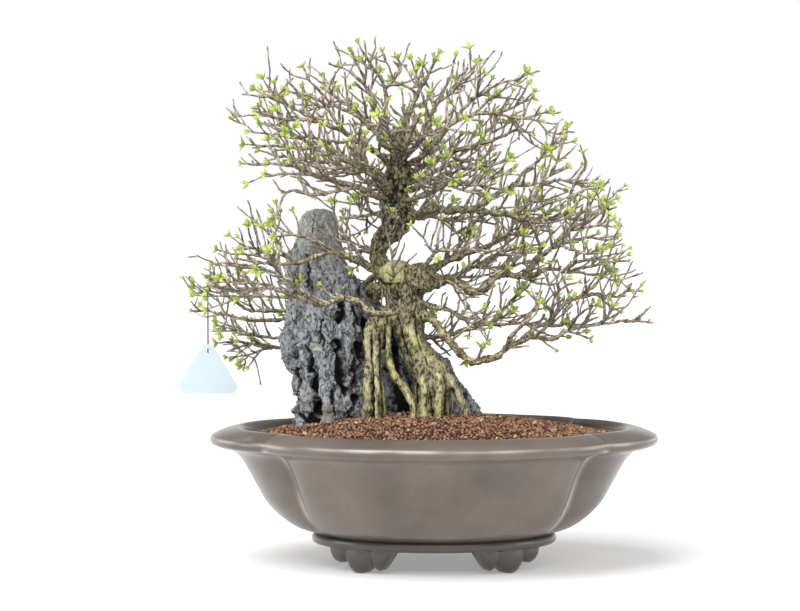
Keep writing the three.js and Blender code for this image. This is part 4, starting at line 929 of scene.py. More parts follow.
# Limbs of each spray as (radius at the base, at the tip) and points; all but the first fork from the first
sprays = {
    "left_low": [
        ((3.6, 1.1), [(-14, -9, 197), (-30, -22, 194), (-47, -29, 194), (-57, -31, 202),
            (-70, -32, 205), (-86, -33, 200), (-101, -32, 206), (-118, -30, 211), (-136, -27, 212),
            (-152, -24, 210), (-167, -22, 214)]),
        ((2, 0.9), [(-88, -33, 202), (-105, -37, 216), (-119, -38, 224), (-136, -38, 228),
            (-161, -35, 230)]),
        ((1.8, 0.9), [(-100, -32, 206), (-119, -22, 205), (-140, -18, 206), (-158, -16, 206),
            (-180, -14, 208)]),
        ((1.6, 0.9), [(-116, -30, 211), (-130, -36, 216), (-146, -38, 217), (-161, -37, 220),
            (-166, -37, 228)]),
        ((1.5, 0.8), [(-136, -27, 212), (-146, -30, 206), (-158, -32, 201), (-170, -32, 197)]),
    ],
    "left_mid": [
        ((3.6, 1.1), [(-38, 2, 223), (-50, -7, 228), (-62, -16, 234), (-76, -22, 239), (-88, -25, 237),
            (-101, -26, 232), (-115, -25, 230), (-130, -23, 231), (-147, -21, 234)]),
        ((1.8, 0.8), [(-76, -22, 239), (-84, -27, 246), (-97, -29, 250), (-110, -29, 254),
            (-122, -28, 261)]),
        ((1.6, 0.8), [(-102, -26, 233), (-113, -24, 239), (-121, -22, 249), (-133, -20, 261)]),
        ((1.6, 0.8), [(-116, -25, 231), (-126, -18, 239), (-142, -15, 243), (-154, -14, 251)]),
        ((1.5, 0.8), [(-119, -25, 231), (-134, -29, 237), (-148, -30, 238), (-162, -29, 241)]),
        ((1.5, 0.8), [(-62, -16, 234), (-65, -18, 246), (-72, -18, 258), (-75, -17, 268),
            (-78, -16, 276)]),
    ],
    "left_back": [
        ((3.4, 1), [(-24, 2, 210), (-34, 24, 222), (-44, 42, 220), (-60, 52, 207), (-80, 55, 195),
            (-106, 54, 187), (-126, 49, 184), (-146, 46, 185), (-166, 43, 190), (-186, 40, 192)]),
        ((2.4, 1), [(-92, 53, 189), (-112, 46, 191), (-128, 42, 192), (-144, 38, 193), (-158, 34, 203),
            (-170, 31, 215)]),
        ((2, 0.9), [(-84, 52, 191), (-102, 58, 175), (-120, 58, 170), (-138, 56, 172), (-154, 54, 176),
            (-168, 52, 180)]),
        ((2, 0.9), [(-96, 58, 178), (-112, 64, 164), (-128, 63, 162), (-142, 60, 165), (-155, 58, 167),
            (-168, 56, 166)]),
        ((1.5, 0.8), [(-126, 63, 162), (-140, 66, 158), (-152, 67, 155), (-161, 67, 154)]),
    ],
    "right_low": [
        ((4.6, 1), [(-14, -8, 190), (-3, -12, 190), (3, -14, 182), (11, -15, 173), (20, -16, 163),
            (28, -16, 156), (38, -15, 158), (47, -13, 160), (54, -11, 166), (63, -9, 170),
            (74, -7, 174), (90, -5, 173), (102, -3, 179), (126, 0, 183), (146, 2, 185), (168, 4, 184)]),
        ((2.4, 0.9), [(53, -11, 166), (59, -16, 177), (68, -19, 187), (76, -20, 193), (78, -21, 200)]),
        ((2.8, 1), [(68, -8, 172), (76, -4, 180), (88, -1, 186), (96, 1, 196), (110, 5, 203),
            (121, 9, 210), (130, 12, 217), (138, 14, 222)]),
        ((1.7, 0.8), [(89, -2, 187), (90, -7, 198), (93, -9, 208), (101, -10, 214), (108, -10, 216)]),
        ((1.6, 0.8), [(102, -3, 179), (107, -9, 188), (114, -12, 196), (122, -13, 199)]),
        ((1.4, 0.8), [(128, 0, 183), (132, -4, 190), (135, -6, 197)]),
        ((1.4, 0.8), [(114, 4, 205), (128, 8, 206), (142, 10, 203), (150, 11, 208)]),
    ],
    "right_low_back": [
        ((2.6, 0.9), [(-12, 2, 172), (-4, 10, 173), (12, 16, 174), (32, 20, 180), (48, 22, 182),
            (60, 23, 183), (72, 24, 190), (84, 25, 194)]),
        ((1.7, 0.8), [(44, 22, 182), (52, 27, 190), (61, 30, 198), (70, 32, 208)]),
        ((1.6, 0.8), [(60, 23, 183), (76, 32, 181), (92, 38, 180), (108, 42, 183)]),
    ],
    "right_mid": [
        ((5.6, 1), [(-10, -3, 214), (4, -5, 217), (12, -7, 219), (21, -9, 214), (30, -9, 209),
            (38, -8, 212), (46, -6, 220), (54, -5, 223), (64, -4, 220), (76, -3, 222), (88, -2, 226),
            (100, 0, 224), (118, 0, 222), (137, -3, 217)]),
        ((3.2, 1), [(68, -4, 222), (76, -8, 232), (86, -11, 241), (95, -13, 250), (102, -14, 258),
            (114, -14, 262), (128, -13, 271)]),
        ((2, 0.9), [(87, -11, 242), (100, -5, 246), (114, -2, 249), (128, 0, 250), (138, 1, 251)]),
        ((1.8, 0.8), [(92, -12, 246), (101, -21, 242), (112, -25, 239), (122, -26, 241),
            (128, -26, 245)]),
        ((1.7, 0.8), [(100, -14, 256), (112, -20, 258), (124, -22, 261), (132, -22, 264)]),
        ((1.8, 0.8), [(98, 0, 224), (108, -6, 231), (120, -9, 234), (134, -10, 235), (145, -10, 241)]),
        ((1.6, 0.8), [(106, 1, 223), (118, 7, 227), (130, 10, 229), (141, 12, 232), (149, 13, 235)]),
        ((1.5, 0.8), [(66, -4, 220), (76, -10, 216), (86, -14, 215), (98, -16, 219)]),
        ((1.6, 0.8), [(54, -5, 224), (60, -12, 231), (67, -16, 238), (72, -18, 241)]),
    ],
    "right_mid_back": [
        ((4, 1), [(-10, 2, 222), (4, 7, 228), (16, 11, 234), (28, 12, 238), (40, 11, 242), (50, 8, 249),
            (58, 6, 256), (61, 5, 268), (69, 3, 288)]),
        ((2.6, 0.9), [(14, 11, 233), (20, 18, 244), (27, 21, 254), (36, 23, 264), (44, 24, 268)]),
        ((1.7, 0.8), [(44, 10, 244), (56, 16, 249), (68, 19, 256), (80, 21, 262)]),
        ((1.6, 0.8), [(56, 7, 254), (68, -1, 252), (80, -3, 256), (89, -4, 262)]),
    ],
    "right_back": [
        ((2.8, 0.9), [(-12, 4, 214), (2, 16, 217), (18, 26, 221), (32, 33, 227), (48, 40, 235),
            (64, 47, 240), (82, 52, 243)]),
        ((1.7, 0.8), [(32, 33, 227), (44, 44, 225), (58, 54, 226), (72, 62, 229)]),
        ((1.6, 0.8), [(48, 40, 235), (58, 38, 245), (68, 38, 254)]),
    ],
    "front": [
        ((2.2, 0.8), [(-10, -12, 223), (-5, -22, 232), (2, -27, 240), (14, -29, 241), (32, -29, 241),
            (50, -27, 240), (62, -26, 243)]),
        ((1.3, 0.7), [(0, -26, 238), (-6, -29, 247), (-13, -30, 254), (-17, -29, 259)]),
    ],
    "front_drooping": [
        ((1.5, 0.7), [(0, -10, 222), (9, -22, 219), (20, -28, 210), (27, -30, 197), (33, -30, 184),
            (39, -29, 174)]),
        ((1.1, 0.7), [(31, -30, 188), (38, -33, 190), (46, -34, 193)]),
    ],
    "front_pale": [
        ((2.6, 0.9), [(-12, -10, 200), (0, -21, 198), (10, -25, 196), (19, -26, 190), (29, -26, 186),
            (37, -26, 187)]),
    ],
    "front_thin": [
        ((1.3, 0.7), [(-30, -14, 216), (-31, -24, 226), (-33, -27, 242), (-36, -27, 256),
            (-33, -27, 269)]),
    ],
    "right_upper": [
        ((4.2, 1), [(-26, -2, 262), (-12, -6, 268), (0, -9, 272), (14, -10, 271), (30, -10, 271),
            (44, -10, 269), (58, -9, 267), (70, -8, 264), (84, -7, 263.5), (99, -6, 268),
            (102, -6, 280), (107, -6, 292), (114, -5, 304), (113, -5, 313)]),
        ((2.4, 0.8), [(30, -10, 272), (40, -14, 278), (50, -16, 285), (60, -17, 291), (68, -16, 301),
            (78, -15, 308), (86, -14, 317), (95, -13, 327)]),
        ((1.8, 0.8), [(59, -17, 290), (71, -21, 290), (81, -22, 294), (88, -22, 299), (96, -21, 303)]),
        ((1.8, 0.8), [(60, -9, 267), (70, -3, 274), (77, 1, 283), (82, 3, 293), (83, 4, 300)]),
        ((1.8, 0.8), [(66, -8, 266), (76, -14, 272), (87, -17, 277), (100, -18, 281), (111, -18, 286),
            (122, -18, 288)]),
        ((1.5, 0.8), [(78, 2, 286), (92, 5, 293), (108, 6, 292), (124, 6, 291)]),
        ((1.6, 0.8), [(98, -6, 267), (107, -1, 264), (118, 3, 265), (127, 5, 271)]),
    ],
    "crown_left_low": [
        ((3.4, 0.9), [(-30, -2, 276), (-44, -7, 282), (-58, -10, 288), (-72, -12, 292), (-87, -13, 296),
            (-100, -13, 301), (-114, -13, 305), (-144, -12, 306)]),
        ((1.8, 0.8), [(-58, -10, 287), (-74, -16, 285), (-91, -19, 282), (-108, -20, 285),
            (-115, -21, 277), (-120, -21, 264)]),
        ((1.7, 0.8), [(-84, -13, 295), (-98, -20, 298), (-114, -23, 298), (-128, -24, 296),
            (-138, -24, 292)]),
        ((1.6, 0.8), [(-100, -13, 301), (-109, -15, 311), (-112, -16, 324), (-114, -16, 338),
            (-117, -16, 352)]),
    ],
    "crown_left_stub": [
        ((2.4, 0.9), [(-30, 0, 268), (-44, 6, 268), (-54, 9, 266), (-68, 11, 264)]),
        ((1.5, 0.8), [(-46, 6, 268), (-58, 3, 274), (-72, 1, 277)]),
    ],
    "crown_left": [
        ((3.2, 0.9), [(-28, 2, 290), (-44, 5, 300), (-60, 7, 307), (-76, 9, 313), (-92, 10, 317),
            (-112, 10, 318), (-144, 9, 321)]),
        ((1.8, 0.8), [(-64, 8, 309), (-82, 16, 307), (-100, 20, 308), (-118, 21, 312), (-133, 21, 316)]),
        ((1.7, 0.8), [(-88, 10, 317), (-100, 4, 325), (-114, 1, 330), (-130, 0, 336)]),
    ],
    "crown_left_up": [
        ((3.2, 0.9), [(-28, -1, 300), (-40, -6, 312), (-54, -9, 321), (-70, -11, 330), (-86, -12, 338),
            (-102, -12, 345), (-116, -12, 352), (-134, -12, 361)]),
        ((1.7, 0.8), [(-82, -12, 336), (-98, -19, 338), (-114, -22, 339), (-130, -22, 342),
            (-147, -21, 341)]),
        ((1.6, 0.8), [(-60, -10, 324), (-76, -20, 322), (-92, -26, 325), (-110, -29, 327),
            (-136, -29, 329)]),
        ((1.3, 0.8), [(-116, -12, 352), (-123, -8, 359), (-129, -6, 369)]),
        ((1.7, 0.8), [(-66, -11, 328), (-76, -16, 340), (-84, -18, 350), (-95, -19, 358),
            (-107, -19, 359)]),
    ],
    "crown_top_left": [
        ((3, 0.9), [(-27, 2, 308), (-38, 8, 322), (-50, 12, 335), (-62, 14, 345), (-76, 14, 350),
            (-85, 13, 358), (-93, 12, 367), (-100, 12, 379)]),
        ((1.7, 0.8), [(-58, 14, 342), (-66, 20, 352), (-76, 23, 358), (-84, 24, 372)]),
        ((1.6, 0.8), [(-76, 14, 350), (-92, 20, 351), (-106, 22, 352)]),
    ],
    "crown_apex": [
        ((2.8, 0.9), [(-26, -1, 316), (-34, -5, 330), (-41, -7, 342), (-47, -8, 355), (-53, -9, 366),
            (-62, -9, 374), (-71, -9, 379)]),
        ((2, 0.8), [(-36, -6, 334), (-37, -1, 349), (-37, 1, 362), (-43, 1, 374), (-49, 0, 383),
            (-46, 0, 392), (-45, 0, 401)]),
        ((1.5, 0.8), [(-37, 1, 363), (-30, 4, 370), (-25, 5, 378), (-27, 5, 385)]),
        ((1.4, 0.8), [(-49, 0, 383), (-53, -3, 389), (-57, -4, 396)]),
        ((1.4, 0.8), [(-53, -9, 366), (-51, -14, 374), (-54, -16, 383)]),
    ],
    "crown_top": [
        ((2.8, 0.9), [(-25, 2, 322), (-21, 8, 336), (-17, 12, 349), (-12, 14, 361), (-6, 14, 371),
            (-1, 13, 381), (3, 13, 389)]),
        ((1.6, 0.8), [(-13, 14, 359), (-22, 18, 366), (-31, 20, 370)]),
        ((1.6, 0.8), [(-10, 14, 364), (-14, 9, 374), (-17, 7, 384)]),
    ],
    "crown_top_right": [
        ((2.8, 0.9), [(-25, -1, 310), (-12, -9, 322), (-4, -12, 334), (0, -13, 347), (6, -14, 358),
            (11, -14, 369), (15, -14, 385)]),
        ((1.7, 0.8), [(3, -13, 352), (14, -18, 361), (22, -20, 370), (30, -20, 379)]),
        ((1.5, 0.8), [(-3, -12, 338), (-7, -18, 350), (-11, -21, 362), (-16, -22, 372)]),
    ],
    "crown_right": [
        ((3, 0.9), [(-25, 1, 302), (-9, 1, 312), (3, 0, 324), (13, -1, 336), (28, -1, 343),
            (45, -2, 345), (60, -2, 349), (73, -2, 355)]),
        ((1.8, 0.8), [(14, -1, 337), (24, 5, 349), (33, 8, 360), (34, 9, 371), (33, 9, 382)]),
        ((1.6, 0.8), [(28, 6, 355), (42, 2, 362), (52, 0, 368), (61, 0, 369)]),
        ((1.6, 0.8), [(44, -2, 345), (58, -8, 341), (72, -10, 341), (85, -10, 345)]),
    ],
    "crown_right_low": [
        ((3, 0.9), [(-26, 2, 294), (-10, 7, 303), (4, 10, 311), (20, 11, 317), (36, 11, 321),
            (48, 10, 325), (61, 9, 331), (74, 8, 330)]),
        ((1.7, 0.8), [(34, 11, 321), (41, 16, 331), (50, 19, 337), (62, 20, 338)]),
        ((1.6, 0.8), [(8, 10, 312), (20, 18, 309), (34, 22, 308), (46, 24, 305), (58, 25, 309)]),
    ],
    "crown_right_under": [
        ((2.8, 0.9), [(-27, -1, 282), (-12, -5, 289), (0, -8, 294), (14, -9, 294), (28, -8, 291),
            (42, -7, 288), (54, -6, 286)]),
        ((1.6, 0.8), [(8, -9, 294), (18, -15, 301), (30, -19, 305), (44, -21, 305), (54, -21, 310)]),
        ((1.6, 0.8), [(0, -8, 294), (8, -16, 290), (20, -22, 286), (36, -25, 284)]),
    ],
    "crown_front": [
        ((2.8, 0.9), [(-27, -2, 306), (-24, -20, 313), (-20, -38, 322), (-16, -56, 332),
            (-12, -72, 340)]),
        ((1.8, 0.8), [(-22, -30, 318), (-32, -44, 328), (-42, -56, 340), (-48, -64, 350)]),
        ((1.8, 0.8), [(-20, -38, 322), (-6, -50, 326), (8, -60, 332), (20, -68, 338)]),
    ],
    "crown_front_left": [
        ((2.8, 0.9), [(-29, -2, 286), (-42, -20, 294), (-56, -36, 302), (-70, -50, 310),
            (-82, -62, 318)]),
        ((1.8, 0.8), [(-52, -32, 300), (-54, -46, 309), (-54, -60, 318), (-52, -72, 326)]),
        ((1.7, 0.8), [(-60, -40, 304), (-76, -44, 302), (-92, -48, 304), (-106, -50, 308)]),
    ],
    "crown_front_right": [
        ((2.8, 0.9), [(-28, -2, 276), (-12, -18, 280), (2, -32, 286), (16, -46, 294), (30, -58, 303)]),
        ((1.8, 0.8), [(0, -30, 285), (0, -46, 290), (-2, -62, 297), (-4, -76, 306)]),
        ((1.7, 0.8), [(10, -40, 290), (26, -42, 290), (42, -44, 294), (56, -46, 300)]),
    ],
    "crown_back": [
        ((2.8, 0.9), [(-27, 2, 304), (-25, 20, 312), (-22, 40, 322), (-18, 58, 333), (-14, 74, 342)]),
        ((1.8, 0.8), [(-24, 32, 318), (-38, 46, 328), (-50, 58, 340), (-58, 68, 350)]),
        ((1.8, 0.8), [(-22, 40, 322), (-6, 52, 328), (8, 62, 336), (20, 70, 344)]),
    ],
    "crown_back_left": [
        ((2.8, 0.9), [(-30, 2, 282), (-46, 20, 290), (-62, 38, 298), (-78, 54, 307), (-92, 66, 316)]),
        ((1.8, 0.8), [(-58, 34, 296), (-60, 52, 304), (-60, 68, 312), (-58, 82, 322)]),
        ((1.7, 0.8), [(-66, 42, 300), (-84, 42, 298), (-100, 46, 300), (-114, 48, 306)]),
    ],
    "crown_back_right": [
        ((2.8, 0.9), [(-28, 2, 288), (-12, 20, 294), (4, 36, 302), (20, 50, 312), (36, 62, 322)]),
        ((1.8, 0.8), [(0, 32, 300), (0, 50, 308), (0, 66, 316), (2, 80, 326)]),
        ((1.7, 0.8), [(10, 41, 305), (26, 44, 302), (42, 48, 304), (58, 52, 310)]),
    ],
    "back_low": [
        ((3, 0.9), [(-20, 4, 262), (-16, 22, 264), (-8, 42, 264), (2, 60, 267), (12, 78, 272)]),
        ((1.8, 0.8), [(-12, 32, 264), (-24, 50, 268), (-32, 66, 273), (-38, 80, 280)]),
        ((1.7, 0.8), [(-4, 50, 265), (14, 56, 262), (30, 62, 264), (44, 68, 268)]),
    ],
    "back_left_low": [
        ((2.8, 0.9), [(-36, 6, 226), (-42, 26, 232), (-50, 46, 238), (-60, 64, 243), (-70, 80, 248)]),
        ((1.7, 0.8), [(-48, 42, 236), (-66, 50, 240), (-84, 56, 243), (-100, 60, 248)]),
    ],
}
# how much wider in depth a branch fans than its points say
fan = {
    "right_low": 2.1, "right_low_back": 1.4, "right_mid": 2.1, "right_mid_back": 1.5, "right_upper": 2.1,
    "crown_left_low": 1.7, "crown_left": 1.8, "crown_left_up": 1.8, "crown_top_left": 1.7, "crown_apex": 1.8,
    "crown_top": 1.7, "crown_top_right": 1.7, "crown_right": 2, "crown_right_low": 1.8,
    "crown_right_under": 1.9,
}
for spray, width in fan.items():
    rootY = sprays[spray][0][1][0][1]
    sprays[spray] = [(radii, [(x, rootY + width * (y - rootY), z) for x, y, z in line])
                     for radii, line in sprays[spray]]


def withRadii(limb):
    (base, tip), line = limb
    last = len(line) - 1
    return np.array([(*p, base + (tip - base) * i / last) for i, p in enumerate(line)], dtype=float)


woodShape = {
    "voxel": 0.8, "trunkSides": 28, "rootSides": 16, "collarSides": 12, "burlSides": 32,
    "collar": 20, "flare": (1.45, 0.8),  # a collar's reach up its limb, and its radii as shares of the limb's
    "fissures": (1.9, 7, 11), "flutes": (5.2, 14, 12), "knots": (7, 13),  # size, reach along the wood, seed
    "old": (238, 12),  # the trunk above this height is all knots and hollows, and over how much it turns so
    # by how many millimetres each form stands out or cuts in, and how much painted light or shade it gets:
    # paler where it stands out, darker where it cuts in
    "standsOut": {"flute": 0.75, "fissure": 0.4, "knot": 0.8, "plate": 0.45, "plateEdge": 0.2, "gnarl": 2.2,
                  "gap": 1.9, "rim": 1.1},
    "lightByRelief": {"all": 0.72, "furrow": 0.55, "hollowShade": 0.6, "knot": 0.16, "gnarl": 0.25, "gap": 0.5,
              "flute": 0.24, "fissure": 0.34, "plate": 0.2, "plateEdge": 0.22},
    # hollows under limbs and between the forks, as x and z, size, depth and the darkness of their painted
    # shade
    "hollows": [
        ((-50, 203), 6, 1.5, 1), ((-28, 242), 5, 1.0, 0.8), ((-32, 279), 4.5, 1.2, 0.7),
        ((-29, 288), 3, 1.5, 0.8), ((-19, 261), 3, 1.5, 1), ((-14, 208), 5, 0.6, 0.5),
        ((-30, 206), 5, 0.8, 0.5), ((-24, 170), 7, 0.5, 0.4),
    ],
    # smooth pale stretches beside the roots, also painted paler on their front as highlight
    "bare": [([(-20, 181), (-12, 168), (-3, 156)], 4.5)],  # smooth pale stretches besides the roots
    "dome": ((-30, -10, 225), (12.5, 15, 9.8)),  # the smooth face of the burl
    # furrows between the roots, as lines of x and z with a half width and a depth; each is also painted dark
    # as shade
    "furrows": [
        ([(-48.5, 176), (-47, 160), (-46.6, 140), (-46.4, 104)], 0.9, 3.4),
        ([(-41, 176), (-40.4, 150), (-39.8, 128), (-40.2, 104)], 0.9, 3.2),
        ([(-36.5, 184), (-38, 166)], 0.8, 2.0),
        ([(-3, 132), (-2, 116), (-2.5, 104)], 0.8, 1.8),
        ([(8.6, 148), (9, 133), (8.6, 116), (8, 104)], 1.0, 3.2), ([(13.4, 134), (13.8, 128)], 1.5, 4.5),
        ([(15, 124), (16.5, 106)], 0.8, 2.6), ([(-13, 140), (-13.5, 128), (-13.4, 104)], 0.7, 1.5),
        ([(-43, 219), (-38, 214.5), (-33, 214)], 1.0, 1.8),
        ([(-28, 196), (-25, 178), (-20, 162)], 0.7, 1.6), ([(-15, 190), (-12, 170), (-4, 152)], 0.6, 1.2),
    ],
}


def tubeSkin(line, sides):
    line = np.asarray(line, dtype=float)
    along = np.gradient(line[:, :3], axis=0)
    along /= np.linalg.norm(along, axis=1)[:, None]
    side = np.array([0.0, 1.0, 0.0]) if abs(along[0, 1]) < 0.8 else np.array([1.0, 0.0, 0.0])
    turn = np.arange(sides)[:, None] * 2 * math.pi / sides
    rings = []
    for point, way in zip(line, along):
        side = side - (side @ way) * way
        side /= np.linalg.norm(side)
        other = np.cross(way, side)
        rings.append(point[:3] + point[3] * (np.cos(turn) * side + np.sin(turn) * other))
    start, end = line[0, :3] - along[0] * line[0, 3] * 0.5, line[-1, :3] + along[-1] * line[-1, 3] * 0.5
    return loft([[start], *rings, [end]])


def burlSkin(centre, radii):
    rings = [[np.subtract(centre, (0, 0, radii[2]))]]
    count = woodShape["burlSides"]
    turn = np.arange(count) * 2 * math.pi / count
    for tilt in np.linspace(-80, 80, 17) * degrees:
        wide = math.cos(tilt)
        x, y = centre[0] + radii[0] * wide * np.cos(turn), centre[1] + radii[1] * wide * np.sin(turn)
        rings.append(np.stack([x, y, np.full(count, centre[2] + radii[2] * math.sin(tilt))], axis=1))
    return loft([*rings, [np.add(centre, (0, 0, radii[2]))]])


def makeTrunk():
    lines = [smoothLine(trunkLine, 3)] + [smoothLine(line, 3) for line in rootLines]
    collars = []
    for limbs in sprays.values():
        line = smoothLine(withRadii(limbs[0]), 2)[: round(woodShape["collar"] / 2)]
        line[:, 3] *= np.linspace(*woodShape["flare"], len(line))
        collars.append(line)
    skins = [tubeSkin(lines[0], woodShape["trunkSides"])]
    skins += [tubeSkin(line, woodShape["rootSides"]) for line in lines[1:]]
    skins += [tubeSkin(line, woodShape["collarSides"]) for line in collars]
    skins += [burlSkin(*burl) for burl in (*burls, knot)]
    trunk = addMesh("trunkAndRoots", *joined(skins))
    remesh(trunk, woodShape["voxel"], 3)
    points, normals = readPoints(trunk)

    # the way the wood grows at each point, from the lines near it
    grows = np.zeros_like(points)
    for line in lines + collars:
        for a, b in itertools.pairwise(line[::2]):
            step = b[:3] - a[:3]
            share = np.clip((points - a[:3]) @ step / (step @ step), 0, 1)
            off = np.linalg.norm(points - a[:3] - share[:, None] * step, axis=1) - a[3]
            way = step / np.linalg.norm(step) * (1 if step[2] > 0 else -1)
            grows += np.exp(-np.clip(off, -2, 60) / 1.2)[:, None] * way
    grows /= np.linalg.norm(grows, axis=1)[:, None] + 1e-9

    def streaks(size, reach, seed):
        drawn = [ripple(points + grows * s, size, seed) for s in np.linspace(-reach, reach, 7)]
        return np.mean(drawn, axis=0) * 1.9
    fissure = 1 - np.abs(streaks(*woodShape["fissures"]))
    flute = streaks(*woodShape["flutes"])
    knots = ripple(points, *woodShape["knots"])
    front = np.clip(-normals[:, 1] * 2.5, 0, 1)
    wander = 0.9 * np.stack([ripple(points, 6, 14), ripple(points, 6, 16)], axis=1)
    flat = points[:, [0, 2]] + wander
    middle, reach = (np.array(three) for three in woodShape["dome"])
    off = np.linalg.norm((points - middle) / reach, axis=1)
    rightward = np.clip(points[:, 0] - middle[0], 0, 12)  # the burl runs out into the bark on its right
    off += 0.16 * ripple(points, 8, 36) + 0.1 * ripple(points, 3, 38) + 0.025 * rightward
    bare = 0.85 * np.exp(-np.clip(off - 0.86, 0, 9) * 5)
    rimmed = np.exp(-(((off - 1.12) / 0.09) ** 2)) * np.clip(0.4 + ripple(points, 6, 19), 0, 1) * front
    # paler along the front of the root crests: partly smooth bark, partly painted highlight
    for line, half in [*(([(x, z) for x, _, z, _ in line], 2.5) for line in rootLines), *woodShape["bare"]]:
        near = np.exp(-((offLine(flat, line) / half) ** 2)) * front
        patchiness = np.clip(0.7 + 0.9 * ripple(points, 8, 17) + 0.4 * ripple(points, 3, 39), 0, 0.92)
        bare = np.maximum(bare, near * patchiness)
    rough = 1 - 0.7 * bare
    plates, plateEdges = facets(points + 0.9 * np.stack([knots, flute, fissure], axis=1), 3, 33)
    out, lightByRelief = woodShape["standsOut"], woodShape["lightByRelief"]
    moved = rough * (out["flute"] * flute - out["fissure"] * (fissure**3 - 0.4) + out["knot"] * knots
                     + out["plate"] * plates - out["plateEdge"] * plateEdges)
    # the hollows are painted dark as shade
    hollowShade = np.zeros(len(points))
    pitted = np.clip(0.9 + 1.1 * ripple(points, 3.5, 37), 0.15, 1.3)
    for middle, size, deep, dark in woodShape["hollows"]:
        near = np.exp(-((np.linalg.norm(flat + wander - middle, axis=1) / size) ** 2)) * front * pitted
        moved -= deep * near
        hollowShade = np.maximum(hollowShade, dark * near)
    oldFrom, over = woodShape["old"]
    upper = np.clip((points[:, 2] - oldFrom) / over, 0, 1)
    gnarls = ripple(points, 8, 34) + 0.6 * ripple(points, 4, 35)
    gaps = np.exp(-np.abs(gnarls) / 0.12)
    moved += upper * (out["gnarl"] * gnarls - out["gap"] * gaps) - out["rim"] * rimmed
    furrowShade = 0.4 * rimmed
    for line, half, deep in woodShape["furrows"]:
        near = np.exp(-((offLine(flat, line) / half) ** 2)) * front
        moved -= deep * near
        furrowShade += near
    # painted light on what stands out, painted shade in furrows, hollows and gaps
    depth = lightByRelief["all"] - lightByRelief["furrow"] * furrowShade - lightByRelief["hollowShade"] * hollowShade + lightByRelief["knot"] * knots
    depth += upper * (lightByRelief["gnarl"] * gnarls - lightByRelief["gap"] * gaps)
    depth += rough * (lightByRelief["flute"] * flute - lightByRelief["fissure"] * (fissure**3 - 0.35)
                      + lightByRelief["plate"] * plates - lightByRelief["plateEdge"] * plateEdges)
    writePoints(trunk, points + normals * moved[:, None])
    setValues(trunk, "depth", np.clip(depth, 0, 1))
    setValues(trunk, "bare", np.clip(bare, 0, 1))
    trunk.data.materials.append(bark)
    handOver(trunk, "bark", "trunk")


makeTrunk()
report("trunk")


# Growth: the same seeded twigs as the solids, then finer ones between them

twigRule = {
    "seed": 4711, "spacing": 38, "keep": 0.5, "shortest": 9, "longest": 20, "bentFrom": 15, "radius": 0.9,
    "tipRadius": 0.7, "thickest": 2.6, "clear": 0.8, "bend": 2.1, "budReach": 3.4, "lean": (48, 16),
    "lift": 0.22, "lowest": 136, "offStone": 5,
}
wireShape = {"radius": 0.5, "x": -171.5, "drop": 42, "gap": 0.3, "slack": 0.1, "bend": 1.6, "sides": 12}
tagRoom = ((-wireShape["drop"], 4), (-70, 24))  # heights under the hook and radii that twigs leave to the tag
word = 0xFFFFFFFF
up = np.array([0.0, 0.0, 1.0])


def drawsFrom(seed):
    # the solids' own sequence of random draws
    state = seed & word
    while True:
        state = (state + 0x6D2B79F5) & word
        t = ((state ^ (state >> 15)) * (state | 1)) & word
        t ^= (t + (((t ^ (t >> 7)) * (t | 61)) & word)) & word
        yield ((t ^ (t >> 14)) & word) / 4294967296


def unit(v):
    return v / np.sqrt(v @ v)


def squareTo(along):
    # two directions square to a line and to each other
    side = unit(np.cross(along, up if abs(along[2]) < 0.9 else np.array([1.0, 0.0, 0.0])))
    return side, np.cross(side, along)


def sideways(sides, angle):
    return sides[0] * math.cos(angle) + sides[1] * math.sin(angle)


def apart(a, b, c, d):
    # distance from the stretch a-b to each stretch c-d
    u, v, w = b - a, d - c, a - c
    uu, vv, uv = u @ u, np.einsum("ij,ij->i", v, v), v @ u
    dv, du = np.einsum("ij,ij->i", v, w), w @ u
    spread = uu * vv - uv * uv
    s = np.where(spread > 1e-9, np.clip((uv * dv - vv * du) / np.where(spread > 1e-9, spread, 1), 0, 1), 0)
    t = np.clip((uv * s + dv) / vv, 0, 1)
    s = np.clip((uv * t - du) / uu, 0, 1)
    return np.linalg.norm(w + s[:, None] * u - t[:, None] * v, axis=1)


def essential(points):
    if len(points) < 3:
        return points
    first, last = points[:1, :3], points[-1:, :3]
    off = [apart(p[:3], p[:3] + up * 1e-6, first, last)[0] for p in points[1:-1]]
    far = 1 + int(np.argmax(off))
    if off[far - 1] < twigRule["bend"]:
        return points[[0, -1]]
    return np.vstack([essential(points[: far + 1])[:-1], essential(points[far:])])


# stretches of wood that take up room: both ends, radius and whose they are
room = 9000
taken = {"a": np.empty((room, 3)), "b": np.empty((room, 3)), "r": np.empty(room),
         "owner": np.empty(room, int)}
takenCount = 0


def claim(points, owner, budded=False):
    global takenCount
    stretches = [(a[:3], b[:3], max(a[3], b[3])) for a, b in itertools.pairwise(points)]
    if budded:
        before, tip = points[-2][:3], points[-1][:3]
        stretches.append((tip, tip + twigRule["budReach"] * unit(tip - before), twigRule["budReach"]))
    for a, b, r in stretches:
        taken["a"][takenCount], taken["b"][takenCount] = a, b
        taken["r"][takenCount], taken["owner"][takenCount] = r, owner
        takenCount += 1


def isFree(points, parent, bud=twigRule["budReach"], clear=twigRule["clear"]):
    before, tip = points[-2][:3], points[-1][:3]
    end = tip + bud * unit(tip - before)
    others = taken["owner"][:takenCount] != parent
    c, d, r = (taken[k][:takenCount][others] for k in "abr")
    path = [*points, np.array([*end, bud])]
    for a, b in itertools.pairwise(path):
        if np.any(apart(a[:3], b[:3], c, d) < max(a[3], b[3]) + clear + r):
            return False
    away = twigRule["offStone"]
    return end[2] > twigRule["lowest"] and not insideStone(*end, away) and not insideStone(*tip, away)


